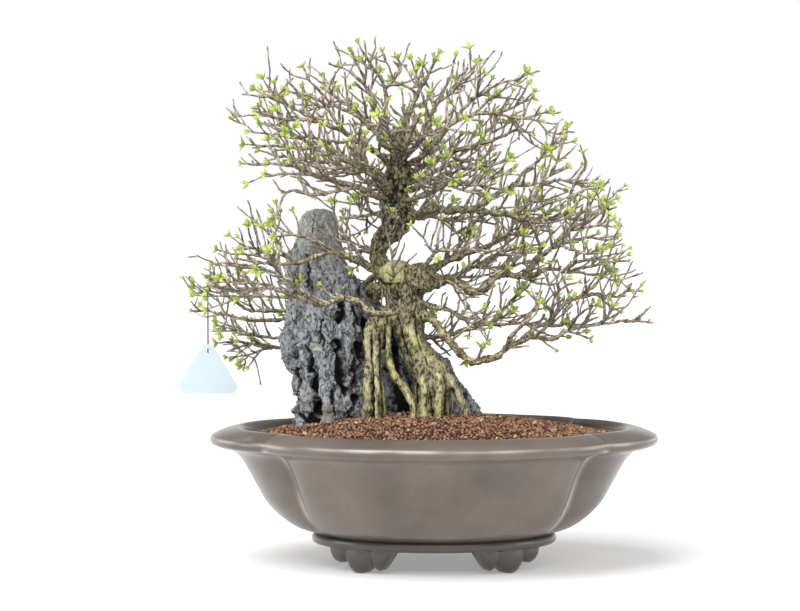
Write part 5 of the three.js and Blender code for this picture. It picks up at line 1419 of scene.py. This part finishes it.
def twigLine(start, heading, length, draw):
    middle = start + heading * length * 0.5
    swing = np.array([next(draw) - 0.5, next(draw) - 0.5, next(draw) - 0.1])
    tip = middle + unit(heading + 0.6 * swing) * length * 0.5
    thick, thin = twigRule["radius"], twigRule["tipRadius"]
    if length > twigRule["bentFrom"]:
        return np.array([[*start, thick], [*middle, thick], [*tip, thin]])
    return np.array([[*start, thick], [*tip, thin]])


def growTwigs(limb, owner, seed):
    draw = drawsFrom(seed)
    line = essential(withRadii(limb))
    rule = twigRule
    grown, travelled = [], 0
    following = rule["spacing"] * (0.7 + next(draw))
    turn = next(draw) * math.pi
    for a, b in itertools.pairwise(line):
        step = b[:3] - a[:3]
        length = math.sqrt(step @ step)
        along = unit(step)
        sides = squareTo(along)
        while following < travelled + length:
            base = a[:3] + along * (following - travelled)
            for way in (0, math.pi):
                wanted = next(draw) < rule["keep"] and a[3] < rule["thickest"]
                size = rule["shortest"] + (rule["longest"] - rule["shortest"]) * next(draw)
                lean = (rule["lean"][0] + rule["lean"][1] * (next(draw) - 0.5)) * degrees
                for attempt in range(4 if wanted else 0):
                    out = sideways(sides, turn + way + attempt * 0.9)
                    heading = unit(along * math.cos(lean) + out * math.sin(lean) + up * rule["lift"])
                    twig = twigLine(base, heading, size * (1 - 0.12 * attempt), draw)
                    if isFree(twig, owner):
                        grown.append(twig)
                        claim(twig, owner, True)
                        break
            turn += math.pi / 2 + 0.4 * (next(draw) - 0.5)
            following += rule["spacing"] * (0.75 + 0.5 * next(draw))
        travelled += length
    return grown


hookTwig = [np.array(p, dtype=float) for p in sprays["left_low"][2][1][-2:]]
hookSeat = hookTwig[0] + (wireShape["x"] - hookTwig[0][0]) / (hookTwig[1][0] - hookTwig[0][0]) * (
    hookTwig[1] - hookTwig[0])
hookReach = twigRule["radius"] + wireShape["gap"] + wireShape["radius"] + wireShape["slack"]


def hookLine():
    # over the twig, down behind it and round under the tag's hole
    x, y, z = hookSeat
    radius, bend, low = wireShape["radius"], wireShape["bend"], z - wireShape["drop"]
    line = []
    for k in range(7):
        turn = math.pi * (k - 0.6) / 6
        line.append((x, y - hookReach * math.cos(turn), z + hookReach * math.sin(turn), radius))
    back = y + hookReach
    line.append((x, back, low, radius))
    for k in range(1, 5):
        turn = math.pi * k / 4
        line.append((x, back - bend + bend * math.cos(turn), low - bend * math.sin(turn), radius))
    return np.array(line)


claim(np.array(trunkLine, dtype=float), 0)
for line in rootLines:
    claim(np.array(line, dtype=float), 0)
claim(hookLine(), 1)
claim(np.array([(*hookSeat[:2], hookSeat[2] + height, radius) for height, radius in tagRoom]), 2)
owners = {(spray, i): 3 + n for n, (spray, i) in enumerate(
    (spray, i) for spray, limbs in sprays.items() for i in range(len(limbs)))}
for spray, limbs in sprays.items():
    for i, limb in enumerate(limbs):
        claim(essential(withRadii(limb)), owners[spray, i], True)
twigs = {}
for number, (spray, limbs) in enumerate(sprays.items()):
    for i, limb in enumerate(limbs):
        twigs[spray, i] = growTwigs(limb, owners[spray, i], twigRule["seed"] + 97 * number + i)
report(f"{sum(len(grown) for grown in twigs.values())} twigs of the solids")


# Finer growth: short shoots in opposite pairs, at the nodes of every limb and twig

shootRule = {
    "seed": 8, "node": (6.5, 11.5), "keep": (0.55, 0.36, 0.12), "spur": 0.34, "spurs": (3, 8),
    "shoots": (9, 23), "radius": 0.82, "tipRadius": 0.6, "air": 1.7, "lean": (34, 62), "lift": 0.3,
    "outward": 0.32,
    "leaves": (0.11, 0.05, 0.03), "eyes": 0.012, "tips": 0.6, "wander": 1.0, "step": 2.6, "limbStep": 1.6,
    "stretch": 5.5, "swing": 0.17, "rise": 0.07, "shorter": (1, 0.85, 0.6), "middleX": -27, "boxMargin": 4.5,
    "lowest": 132, "offStone": 3, "limbShare": 0.82, "forkWithin": 7,
    "fillers": {"at": (0.18, 0.3, 0.42, 0.55, 0.68), "keep": 0.7, "length": (22, 46), "radius": 1.35},
    "sparse": {"crown_left": 0.72, "crown_left_low": 0.72, "crown_left_up": 0.72, "right_mid": 0.7,
               "right_upper": 0.75, "right_low": 0.75, "crown_right": 0.85},
}
crowd = {}
cellSize = 2.4
boxLow, boxHigh = (np.array(corner) * 1000 - shift for corner in cadBox)
rng = random.Random(shootRule["seed"])


def settleIn(points):
    for p in points:
        crowd.setdefault(tuple((p[:3] // cellSize).astype(int)), []).append(p[:3])


def hasAir(points, air):
    for p in points:
        cell = (p[:3] // cellSize).astype(int)
        for off in itertools.product((-1, 0, 1), repeat=3):
            for q in crowd.get(tuple(cell + off), ()):
                if (p[0] - q[0]) ** 2 + (p[1] - q[1]) ** 2 + (p[2] - q[2]) ** 2 < air * air:
                    return False
    return True


def lengthsOf(line):
    return np.concatenate([[0], np.cumsum(np.linalg.norm(np.diff(line[:, :3], axis=0), axis=1))])


def grown(rows, spacing, flare, wander=shootRule["wander"], knots=0.16):
    # an even line through the rows that wanders a little, swells at its nodes and is blunt at its tip
    line = smoothLine(rows, spacing)
    at = lengthsOf(line)
    drift = np.stack([ripple(line[:, :3], 11, 30 + k) for k in range(3)], axis=1)
    drift += 0.5 * np.stack([ripple(line[:, :3], 4.5, 40 + k) for k in range(3)], axis=1)
    line[:, :3] += wander * drift * np.clip(np.minimum(at, at[-1] - at) / 7, 0, 1)[:, None]
    line[:, 3] *= 1 + knots * ripple(line[:, :3], 3.2, 50) + flare * np.exp(-at / 2.4)
    line[:, 3] *= 1 + 1.4 * (knots - 0.16) * ripple(line[:, :3], 8, 51)
    tip = line[-1].copy()
    tip[:3] += 0.5 * unit(line[-1, :3] - line[-2, :3])
    tip[3] *= 0.45
    return np.vstack([line, tip])


def nearestOn(line, p):
    return int(np.argmin(np.linalg.norm(line[:, :3] - p[:3], axis=1)))


def shootFrom(base, heading, length, radius):
    # a shoot of a few straight stretches, each turned a little from the last
    points, way = [np.array([*base, radius])], heading
    count = max(1, round(length / shootRule["stretch"]))
    side = unit(np.cross(heading, up) + 1e-3) * rng.choice((-1, 1))
    for k in range(count):
        swing = np.array([rng.uniform(-1, 1) for _ in range(3)]) * shootRule["swing"]
        way = unit(way + side * shootRule["swing"] * (-1) ** k + swing + up * shootRule["rise"])
        thick = radius + (shootRule["tipRadius"] - radius) * (k + 1) / count
        points.append(np.array([*(points[-1][:3] + way * length / count), thick]))
    return np.array(points)


def sampled(rows, spacing=1.7):
    at = lengthsOf(rows)
    wanted = np.arange(spacing * 1.6, at[-1] + spacing, spacing)
    return np.stack([np.interp(wanted, at, rows[:, k]) for k in range(3)], axis=1)


def inBox(p, margin):
    return bool(np.all(p[:3] > boxLow + margin) and np.all(p[:3] < boxHigh - margin))


def sproutAlong(line, level, chains, buds, share):
    at = lengthsOf(line)
    reach = rng.uniform(3, 8)
    turn = rng.uniform(0, math.pi)
    while reach < at[-1] - 2.5:
        k = int(np.searchsorted(at, reach))
        base, along = line[k], unit(line[min(k + 1, len(line) - 1), :3] - line[k - 1, :3])
        sides = squareTo(along)
        outward = np.array([base[0] - shootRule["middleX"], 1.8 * base[1], 0.0])
        outward /= np.linalg.norm(outward) + 1
        for way in (0, math.pi):
            if rng.random() > share * shootRule["keep"][level]:
                continue
            isSpur = rng.random() < shootRule["spur"] + 0.2 * level
            length = rng.uniform(*shootRule["spurs" if isSpur else "shoots"]) * shootRule["shorter"][level]
            lean = rng.uniform(*shootRule["lean"]) * degrees
            for attempt in range(3):
                out = sideways(sides, turn + way + attempt * 1.1)
                heading = unit(along * math.cos(lean) + out * math.sin(lean) + up * shootRule["lift"]
                               + outward * shootRule["outward"])
                radius = min(shootRule["radius"], base[3] * 0.8)
                rows = shootFrom(base[:3], heading, length * (1 - 0.2 * attempt), radius)
                tip = rows[-1]
                if not inBox(tip, shootRule["boxMargin"]) or tip[2] <= shootRule["lowest"]:
                    continue
                if insideStone(*tip[:3], shootRule["offStone"]):
                    continue
                if not hasAir(sampled(rows), shootRule["air"]):
                    continue
                settleIn(sampled(rows))
                shoot = grown(rows, shootRule["step"], 0.35, 0.3)
                chains.append(shoot)
                if not isSpur and level < 2:
                    sproutAlong(shoot, level + 1, chains, buds, share)
                if rng.random() < shootRule["leaves"][level]:
                    buds.append((tip[:3], rows[-1, :3] - rows[-2, :3], rng.uniform(0.6, 1.05)))
                break
            else:
                if rng.random() < shootRule["eyes"]:
                    out = sideways(sides, turn + way)
                    buds.append((base[:3] + out * base[3] * 0.8, along + out, rng.uniform(0.25, 0.4)))
        reach += rng.uniform(*shootRule["node"])
        turn += math.pi / 2 + rng.uniform(-0.3, 0.3)


def fillFrom(line, chains, buds):
    # side limbs between the ones that the solids have
    rule = shootRule["fillers"]
    for share in rule["at"]:
        k = int(share * (len(line) - 1))
        if rng.random() > rule["keep"] or k < 2 or len(line) < 14:
            continue
        base, along = line[k], unit(line[k + 1, :3] - line[k - 1, :3])
        sides = squareTo(along)
        turn = rng.uniform(0, 2 * math.pi)
        for attempt in range(7):
            lean = rng.uniform(*shootRule["lean"]) * degrees
            out = sideways(sides, turn + attempt * 0.9)
            heading = unit(along * math.cos(lean) + out * math.sin(lean) + up * 0.2)
            length = rng.uniform(*rule["length"]) * (1 - 0.09 * attempt)
            rows = shootFrom(base[:3], heading, length, min(rule["radius"], base[3] * 0.8))
            if inBox(rows[-1], 5) and rows[-1, 2] > 140 and not insideStone(*rows[-1, :3], 4) and hasAir(
                    sampled(rows), shootRule["air"] + 0.5):
                settleIn(sampled(rows))
                chains.append(grown(rows, shootRule["step"], 0.35, 0.5))
                if rng.random() < shootRule["tips"]:
                    buds.append((rows[-1, :3], rows[-1, :3] - rows[-2, :3], rng.uniform(0.6, 1.1)))
                break


def growSprays():
    chains = {spray: [] for spray in sprays}
    buds = {spray: [] for spray in sprays}
    main = {}
    for spray, limbs in sprays.items():
        for i, limb in enumerate(limbs):
            rows = withRadii(limb)
            if i:
                fork = main[spray][0][nearestOn(main[spray][0], rows[0])]
                if np.linalg.norm(fork[:3] - rows[0, :3]) < shootRule["forkWithin"]:
                    rows = np.vstack([fork, rows[1:]])
                rows[0, 3] = limb[0][0]
            rows[:, 3] *= shootRule["limbShare"]
            line = grown(rows, shootRule["limbStep"], 0.3, knots=0.3)
            main.setdefault(spray, []).append(line)
            chains[spray].append(line)
            settleIn(line)
            buds[spray].append((line[-1, :3], line[-1, :3] - line[-3, :3], rng.uniform(0.75, 1.15)))
            for twig in twigs[spray, i]:
                start = line[nearestOn(line, twig[0])].copy()
                start[3] = twig[0, 3]
                shoot = grown(np.vstack([start, twig[1:]]), shootRule["step"], 0.35, 0.35)
                chains[spray].append(shoot)
                settleIn(sampled(twig))
                if rng.random() < shootRule["tips"]:
                    buds[spray].append((twig[-1, :3], twig[-1, :3] - twig[-2, :3], rng.uniform(0.6, 1.15)))
    for line in (trunkLine, *rootLines):
        settleIn(smoothLine(line, 2))
    for spray in sprays:
        for line in list(main[spray]):
            fillFrom(line, chains[spray], buds[spray])
    for spray in sprays:
        share = shootRule["sparse"].get(spray, 1)
        for line in list(chains[spray]):
            sproutAlong(line, 0 if line[0, 3] > 1.2 else 1, chains[spray], buds[spray], share)
    return chains, buds


# Leaf clusters: opposite pairs of small folded blades, from nearly shut to open

leafShape = {
    "length": 8.4, "half": 2.3, "thick": 0.22, "fold": 0.45, "variants": 6,
    "rows": [(0.0, 0.14), (0.3, 0.85), (0.55, 0.95), (0.8, 0.5), (1.0, 0.0)],  # shares of length and half
    "pairs": (1.0, 0.85, 0.55), "grown": (0.75, 0.25),  # sizes of the pairs, and of a shut and an open bud
    "tilt": (1.15, 0.75, 0.2),  # radians: when shut, less when open, more for each inner pair
}
twigShape = {"sides": 8, "grain": 2, "roughness": 1.5}


def leafBlade(length, half, tilt, turn, curl):
    # a closed thin blade of eighteen faces, folded along its middle
    points = []
    for along, wide in leafShape["rows"]:
        lift = curl * along * along
        for across in (-1, 0, 1) if wide else (0,):
            x = across * half * wide
            z = abs(across) * leafShape["fold"] * wide + lift
            points.append((x, along * length, z))
    top = np.array(points)
    thick = leafShape["thick"]
    under = top[[1, 4, 7, 10]] - (0, 0, thick)
    everything = np.vstack([top, under])
    faces = []
    for k in range(3):
        a, b, u = 3 * k, 3 * k + 3, 13 + k
        faces += [(a, a + 1, b + 1, b), (a + 1, a + 2, b + 2, b + 1)]
        faces += [(a, b, u + 1, u), (a + 2, u, u + 1, b + 2)]
    faces += [(9, 10, 12), (10, 11, 12), (9, 12, 16), (12, 11, 16), (0, 13, 1), (1, 13, 2)]
    cosT, sinT, cosR, sinR = math.cos(tilt), math.sin(tilt), math.cos(turn), math.sin(turn)
    x, y, z = everything.T
    y, z = y * cosT - z * sinT, y * sinT + z * cosT
    return np.stack([x * cosR - y * sinR, x * sinR + y * cosR, z], axis=1), faces


def makeLeafShapes():
    shapes = bpy.data.collections.new("leafShapes")
    picks = random.Random(12)
    (shutSize, opens), (shut, less, inner) = leafShape["grown"], leafShape["tilt"]
    for k in range(leafShape["variants"]):
        openness = k / (leafShape["variants"] - 1)
        blades = []
        for pair in range(2 if k < 2 else 3):
            size = leafShape["pairs"][pair] * (shutSize + opens * openness)
            tilt = (shut - less * openness + inner * pair) * picks.uniform(0.85, 1.1)
            for half in (0, 1):
                turn = math.pi * half + pair * math.pi / 2 + picks.uniform(-0.25, 0.25)
                blades.append(leafBlade(leafShape["length"] * size * picks.uniform(0.85, 1.1),
                                        leafShape["half"] * size, tilt + picks.uniform(-0.15, 0.15), turn,
                                        picks.uniform(-0.2, 1.0)))
        points, faces = joined(blades)
        addMesh(f"leaves{k}", np.array(points) - shift, faces, collection=shapes)
    return shapes


def budTree():
    # wood along the edges of a mesh, and a leaf cluster on each of its marked points
    tree, given = startTree("budTwigs", {
        "Geometry": "Geometry", "Sides": "Int", "Grain": "Float", "Roughness": "Float",
        "Leaves": "Collection", "Seed": "Int", "Wood finish": "Material", "Leaf finish": "Material"})
    thick = addNode(tree, "GeometryNodeInputNamedAttribute", {"Name": "thick"}).outputs["Attribute"]
    curves = addNode(tree, "GeometryNodeMeshToCurve", {"Mesh": given["Geometry"]}).outputs[0]
    ring = addNode(tree, "GeometryNodeCurvePrimitiveCircle", {"Resolution": given["Sides"], "Radius": 1.0})
    rods = addNode(tree, "GeometryNodeCurveToMesh", {
        "Curve": curves, "Profile Curve": ring.outputs["Curve"],
        "Scale": thick, "Fill Caps": True}).outputs[0]
    rough = addNode(tree, "ShaderNodeTexNoise", {"Scale": given["Grain"], "Detail": 2.0}).outputs["Fac"]
    swing = addNode(tree, "ShaderNodeMath", {0: rough, 1: 0.5}, operation="SUBTRACT").outputs[0]
    share = addNode(tree, "ShaderNodeMath", {0: swing, 1: given["Roughness"]},
                    operation="MULTIPLY").outputs[0]
    reach = addNode(tree, "ShaderNodeMath", {0: share, 1: thick}, operation="MULTIPLY").outputs[0]
    normal = addNode(tree, "GeometryNodeInputNormal").outputs[0]
    push = addNode(tree, "ShaderNodeVectorMath", {0: normal, "Scale": reach}, operation="SCALE").outputs[0]
    barked = addNode(tree, "GeometryNodeSetPosition", {"Geometry": rods, "Offset": push}).outputs[0]

    grow = addNode(tree, "GeometryNodeInputNamedAttribute", {"Name": "grow"}).outputs["Attribute"]
    way = addNode(tree, "GeometryNodeInputNamedAttribute", {"Name": "aim"}, data_type="FLOAT_VECTOR")
    aimed = addNode(tree, "FunctionNodeAlignRotationToVector", {"Vector": way.outputs["Attribute"]}, axis="Z")
    spin = addNode(tree, "FunctionNodeRandomValue", {0: (0, 0, 0), 1: (0, 0, 6.28), 8: given["Seed"]},
                   data_type="FLOAT_VECTOR").outputs[0]
    spun = addNode(tree, "FunctionNodeEulerToRotation", {"Euler": spin}).outputs[0]
    turned = addNode(tree, "FunctionNodeRotateRotation", {
        "Rotation": aimed.outputs[0], "Rotate By": spun}, rotation_space="LOCAL").outputs[0]
    shapes = addNode(tree, "GeometryNodeCollectionInfo", {
        "Collection": given["Leaves"], "Separate Children": True, "Reset Children": True}).outputs[0]
    pick = addNode(tree, "FunctionNodeRandomValue", {4: 0, 5: leafShape["variants"] - 1, 8: given["Seed"]},
                   data_type="INT").outputs[2]
    clusters = addNode(tree, "GeometryNodeInstanceOnPoints", {
        "Points": given["Geometry"], "Selection": grow, "Instance": shapes, "Pick Instance": True,
        "Instance Index": pick, "Rotation": turned, "Scale": grow}).outputs[0]
    hue = addNode(tree, "FunctionNodeRandomValue", {2: 0.0, 3: 1.0, 8: given["Seed"]}, data_type="FLOAT")
    tinted = addNode(tree, "GeometryNodeStoreNamedAttribute", {
        "Geometry": clusters, "Name": "tint", "Value": hue.outputs[1]}, data_type="FLOAT", domain="INSTANCE")
    marked = addNode(tree, "GeometryNodeStoreNamedAttribute", {
        "Geometry": tinted.outputs[0], "Name": "isLeaf", "Value": True},
        data_type="BOOLEAN", domain="INSTANCE")
    both = addNode(tree, "GeometryNodeJoinGeometry", {"Geometry": marked.outputs[0]})
    tree.links.new(barked, both.inputs[0])
    smooth = addNode(tree, "GeometryNodeSetShadeSmooth", {"Geometry": both.outputs[0], "Shade Smooth": True})
    isLeaf = addNode(tree, "GeometryNodeInputNamedAttribute", {"Name": "isLeaf"}, data_type="BOOLEAN")
    real = addNode(tree, "GeometryNodeRealizeInstances", {"Geometry": smooth.outputs[0]}).outputs[0]
    wood = addNode(tree, "GeometryNodeSetMaterial", {"Geometry": real, "Material": given["Wood finish"]})
    done = addNode(tree, "GeometryNodeSetMaterial", {
        "Geometry": wood.outputs[0], "Selection": isLeaf.outputs["Attribute"],
        "Material": given["Leaf finish"]})
    addNode(tree, "NodeGroupOutput", {0: done.outputs[0]})
    return tree


def makeSpray(spray, lines, buds, tree, shapes, number):
    points, edges, thick = [], [], []
    for line in lines:
        start = len(points)
        points.extend(line[:, :3])
        thick.extend(line[:, 3] / 1000)
        edges.extend((start + k, start + k + 1) for k in range(len(line) - 1))
    grow, aims = [0.0] * len(points), [up] * len(points)
    for place, way, size in buds:
        while size > 0.3 and not inBox(place + unit(way) * leafShape["length"] * size, 1):
            size *= 0.9
        points.append(place)
        thick.append(0.0)
        grow.append(size)
        aims.append(way)
    piece = addMesh(f"spray_{spray}", points, [], edges)
    setValues(piece, "thick", thick)
    setValues(piece, "grow", grow)
    setVectors(piece, "aim", aims)
    applyTree(piece, tree, {
        "Sides": twigShape["sides"], "Grain": perMetre(twigShape["grain"]),
        "Roughness": twigShape["roughness"],
        "Leaves": shapes, "Seed": number, "Wood finish": twigSkin, "Leaf finish": leafSkin})
    handOver(piece, "twig_bark", f"branch_{spray}")
    return len(piece.data.loops) - 2 * len(piece.data.polygons)


chains, buds = growSprays()
report(f"{sum(map(len, chains.values()))} limbs, twigs and shoots")
report(f"{sum(map(len, buds.values()))} opening buds")
leafShapes, twigTree = makeLeafShapes(), budTree()
faceCount = 0
for number, spray in enumerate(sprays):
    faceCount += makeSpray(spray, chains[spray], buds[spray], twigTree, leafShapes, number)
removeCollection(leafShapes)
report(f"branches, {faceCount} triangles")


# Wire hook and hang tag

def makeWire():
    line = smoothLine(hookLine(), 1.2)
    ends = []
    for end, inner in ((line[0], line[1]), (line[-1], line[-2])):  # rounded where the wire is cut
        ends.append(end + [*(0.35 * wireShape["radius"] * unit(end[:3] - inner[:3])), 0])
        ends[-1][3] *= 0.5
    piece = addMesh("wireHook", *tubeSkin(np.vstack([ends[0], line, ends[1]]), wireShape["sides"]))
    piece.data.materials.append(blackCoat)
    handOver(piece, "black_wire", "tag_wire")


tagShape = {"width": 48, "height": 41, "corner": 5, "thick": 1.0, "hole": 1.6, "edge": 0.18, "steps": 20}


def makeTag():
    half, r, tall, steps = tagShape["width"] / 2, tagShape["corner"], tagShape["height"], tagShape["steps"]
    slope = math.atan2(tall, half)
    centres = [(0, tall - r * 1.7), (-half + r * 1.4, r), (half - r * 1.4, r)]
    starts = [math.pi / 2 - slope, math.pi / 2 + slope, -math.pi / 2]
    sweeps = [2 * slope, math.pi - slope, math.pi - slope]
    edge = [(cx + r * math.cos(start + sweep * k / steps), cy + r * math.sin(start + sweep * k / steps))
            for (cx, cy), start, sweep in zip(centres, starts, sweeps) for k in range(steps + 1)]
    hole = [(tagShape["hole"] * math.cos(turn), centres[0][1] + tagShape["hole"] * math.sin(turn))
            for turn in (-k * math.pi / 16 for k in range(32))]
    outlines = bpy.data.curves.new("tag", "CURVE")
    outlines.dimensions, outlines.fill_mode = "2D", "BOTH"
    outlines.extrude = (tagShape["thick"] / 2 - tagShape["edge"]) / 1000
    outlines.bevel_depth, outlines.bevel_resolution = tagShape["edge"] / 1000, 3
    outlines.offset = -tagShape["edge"] / 1000
    for loop in (edge, hole):
        spline = outlines.splines.new("POLY")
        spline.points.add(len(loop) - 1)
        spline.points.foreach_set("co", np.array([(x / 1000, y / 1000, 0, 1) for x, y in loop]).ravel())
        spline.use_cyclic_u = True
    sheet = addObject("tagSheet", outlines)
    graph = bpy.context.evaluated_depsgraph_get()
    mesh = bpy.data.meshes.new_from_object(sheet.evaluated_get(graph))
    bpy.data.objects.remove(sheet)
    low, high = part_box("hang_tag")
    count = len(mesh.vertices)
    flat = np.empty(count * 3)
    mesh.vertices.foreach_get("co", flat)
    x, y, z = flat.reshape(-1, 3).T
    middleX, middleY = (low.x + high.x) / 2, (low.y + high.y) / 2
    upright = np.stack([x + middleX, middleY - z, y + low.z - y.min()], axis=1)
    mesh.vertices.foreach_set("co", upright.ravel())
    mesh.update()
    piece = addObject("blankTag", mesh)
    piece.data.materials.clear()
    piece.data.materials.append(card)
    handOver(piece, "white_card", "hang_tag")


makeWire()
makeTag()
report("wire and tag")


# Stage

stageShape = {
    "rings": (400, 1500, 12000), "sides": 96, "table": "#f6f6f6", "tableGlow": 0.25,
    "horizon": (0.14, 0.35), "sky": (1.0, 0.34),  # white round the horizon, dimmer above
    "lens": 118.2, "sensor": 36, "camera": (-26, -2000, 293), "looksAt": (-26, 0, 198),
}


def makeStage():
    count = stageShape["sides"]
    turns = np.arange(count) * 2 * math.pi / count
    rings = [[(0, 0, 0)]] + [np.stack([r * np.cos(turns), r * np.sin(turns), np.zeros(count)], axis=1)
                             for r in stageShape["rings"]]
    floor = addMesh("floor", *loft(rings))
    material, _, surface, _ = startMaterial("litAcrylic", Roughness=0.9)  # a light table: shadows stay faint
    surface.inputs["Base Color"].default_value = colour(stageShape["table"])
    surface.inputs["Emission Color"].default_value = (1, 1, 1, 1)
    surface.inputs["Emission Strength"].default_value = stageShape["tableGlow"]
    floor.data.materials.append(material)
    world = bpy.data.worlds.new("studio")
    world.use_nodes = True
    bpy.context.scene.world = world
    tree = world.node_tree
    sky = tree.nodes["Background"]
    sky.inputs["Color"].default_value = (1, 1, 1, 1)
    way = addNode(tree, "ShaderNodeTexCoord").outputs["Generated"]
    height = addNode(tree, "ShaderNodeSeparateXYZ", {0: way}).outputs["Z"]
    (low, high), (bright, dim) = stageShape["horizon"], stageShape["sky"]
    glow = addNode(tree, "ShaderNodeMapRange", {0: height, 1: low, 2: high, 3: bright, 4: dim}).outputs[0]
    tree.links.new(glow, sky.inputs["Strength"])


lights = {
    "softSun": {"kind": "SUN", "at": (-420, -520, 1200), "to": (0, 0, 0), "spread": 36, "power": 2.15},
    "frontStrip": {"kind": "AREA", "at": (0, -2100, 1350), "to": (0, 0, 100), "size": (3, 0.3), "power": 14},
    "softLeft": {"kind": "AREA", "at": (-1700, -300, 500), "to": (0, 0, 150), "size": (0.8, 0.8), "power": 5},
    "softRight": {"kind": "AREA", "at": (1700, -300, 500), "to": (0, 0, 150), "size": (0.8, 0.8), "power": 4},
}


def aim(thing, start, end):
    start, end = Vector(toFrame(start)), Vector(toFrame(end))
    thing.location = start
    thing.rotation_euler = (end - start).to_track_quat("-Z", "Y").to_euler()


def makeLights():
    for name, light in lights.items():
        lamp = bpy.data.lights.new(name, light["kind"])
        lamp.energy = light["power"]
        if light["kind"] == "SUN":
            lamp.angle = light["spread"] * degrees
        else:
            lamp.shape = "RECTANGLE"
            lamp.size, lamp.size_y = light["size"]
        aim(addObject(name, lamp), light["at"], light["to"])


def makeCamera():
    lens = bpy.data.cameras.new("camera")
    lens.lens, lens.sensor_width = stageShape["lens"], stageShape["sensor"]
    camera = addObject("camera", lens)
    aim(camera, stageShape["camera"], stageShape["looksAt"])
    bpy.context.scene.camera = camera


makeStage()
makeLights()
makeCamera()
bpy.context.scene.view_settings.view_transform = "Standard"
report("stage")
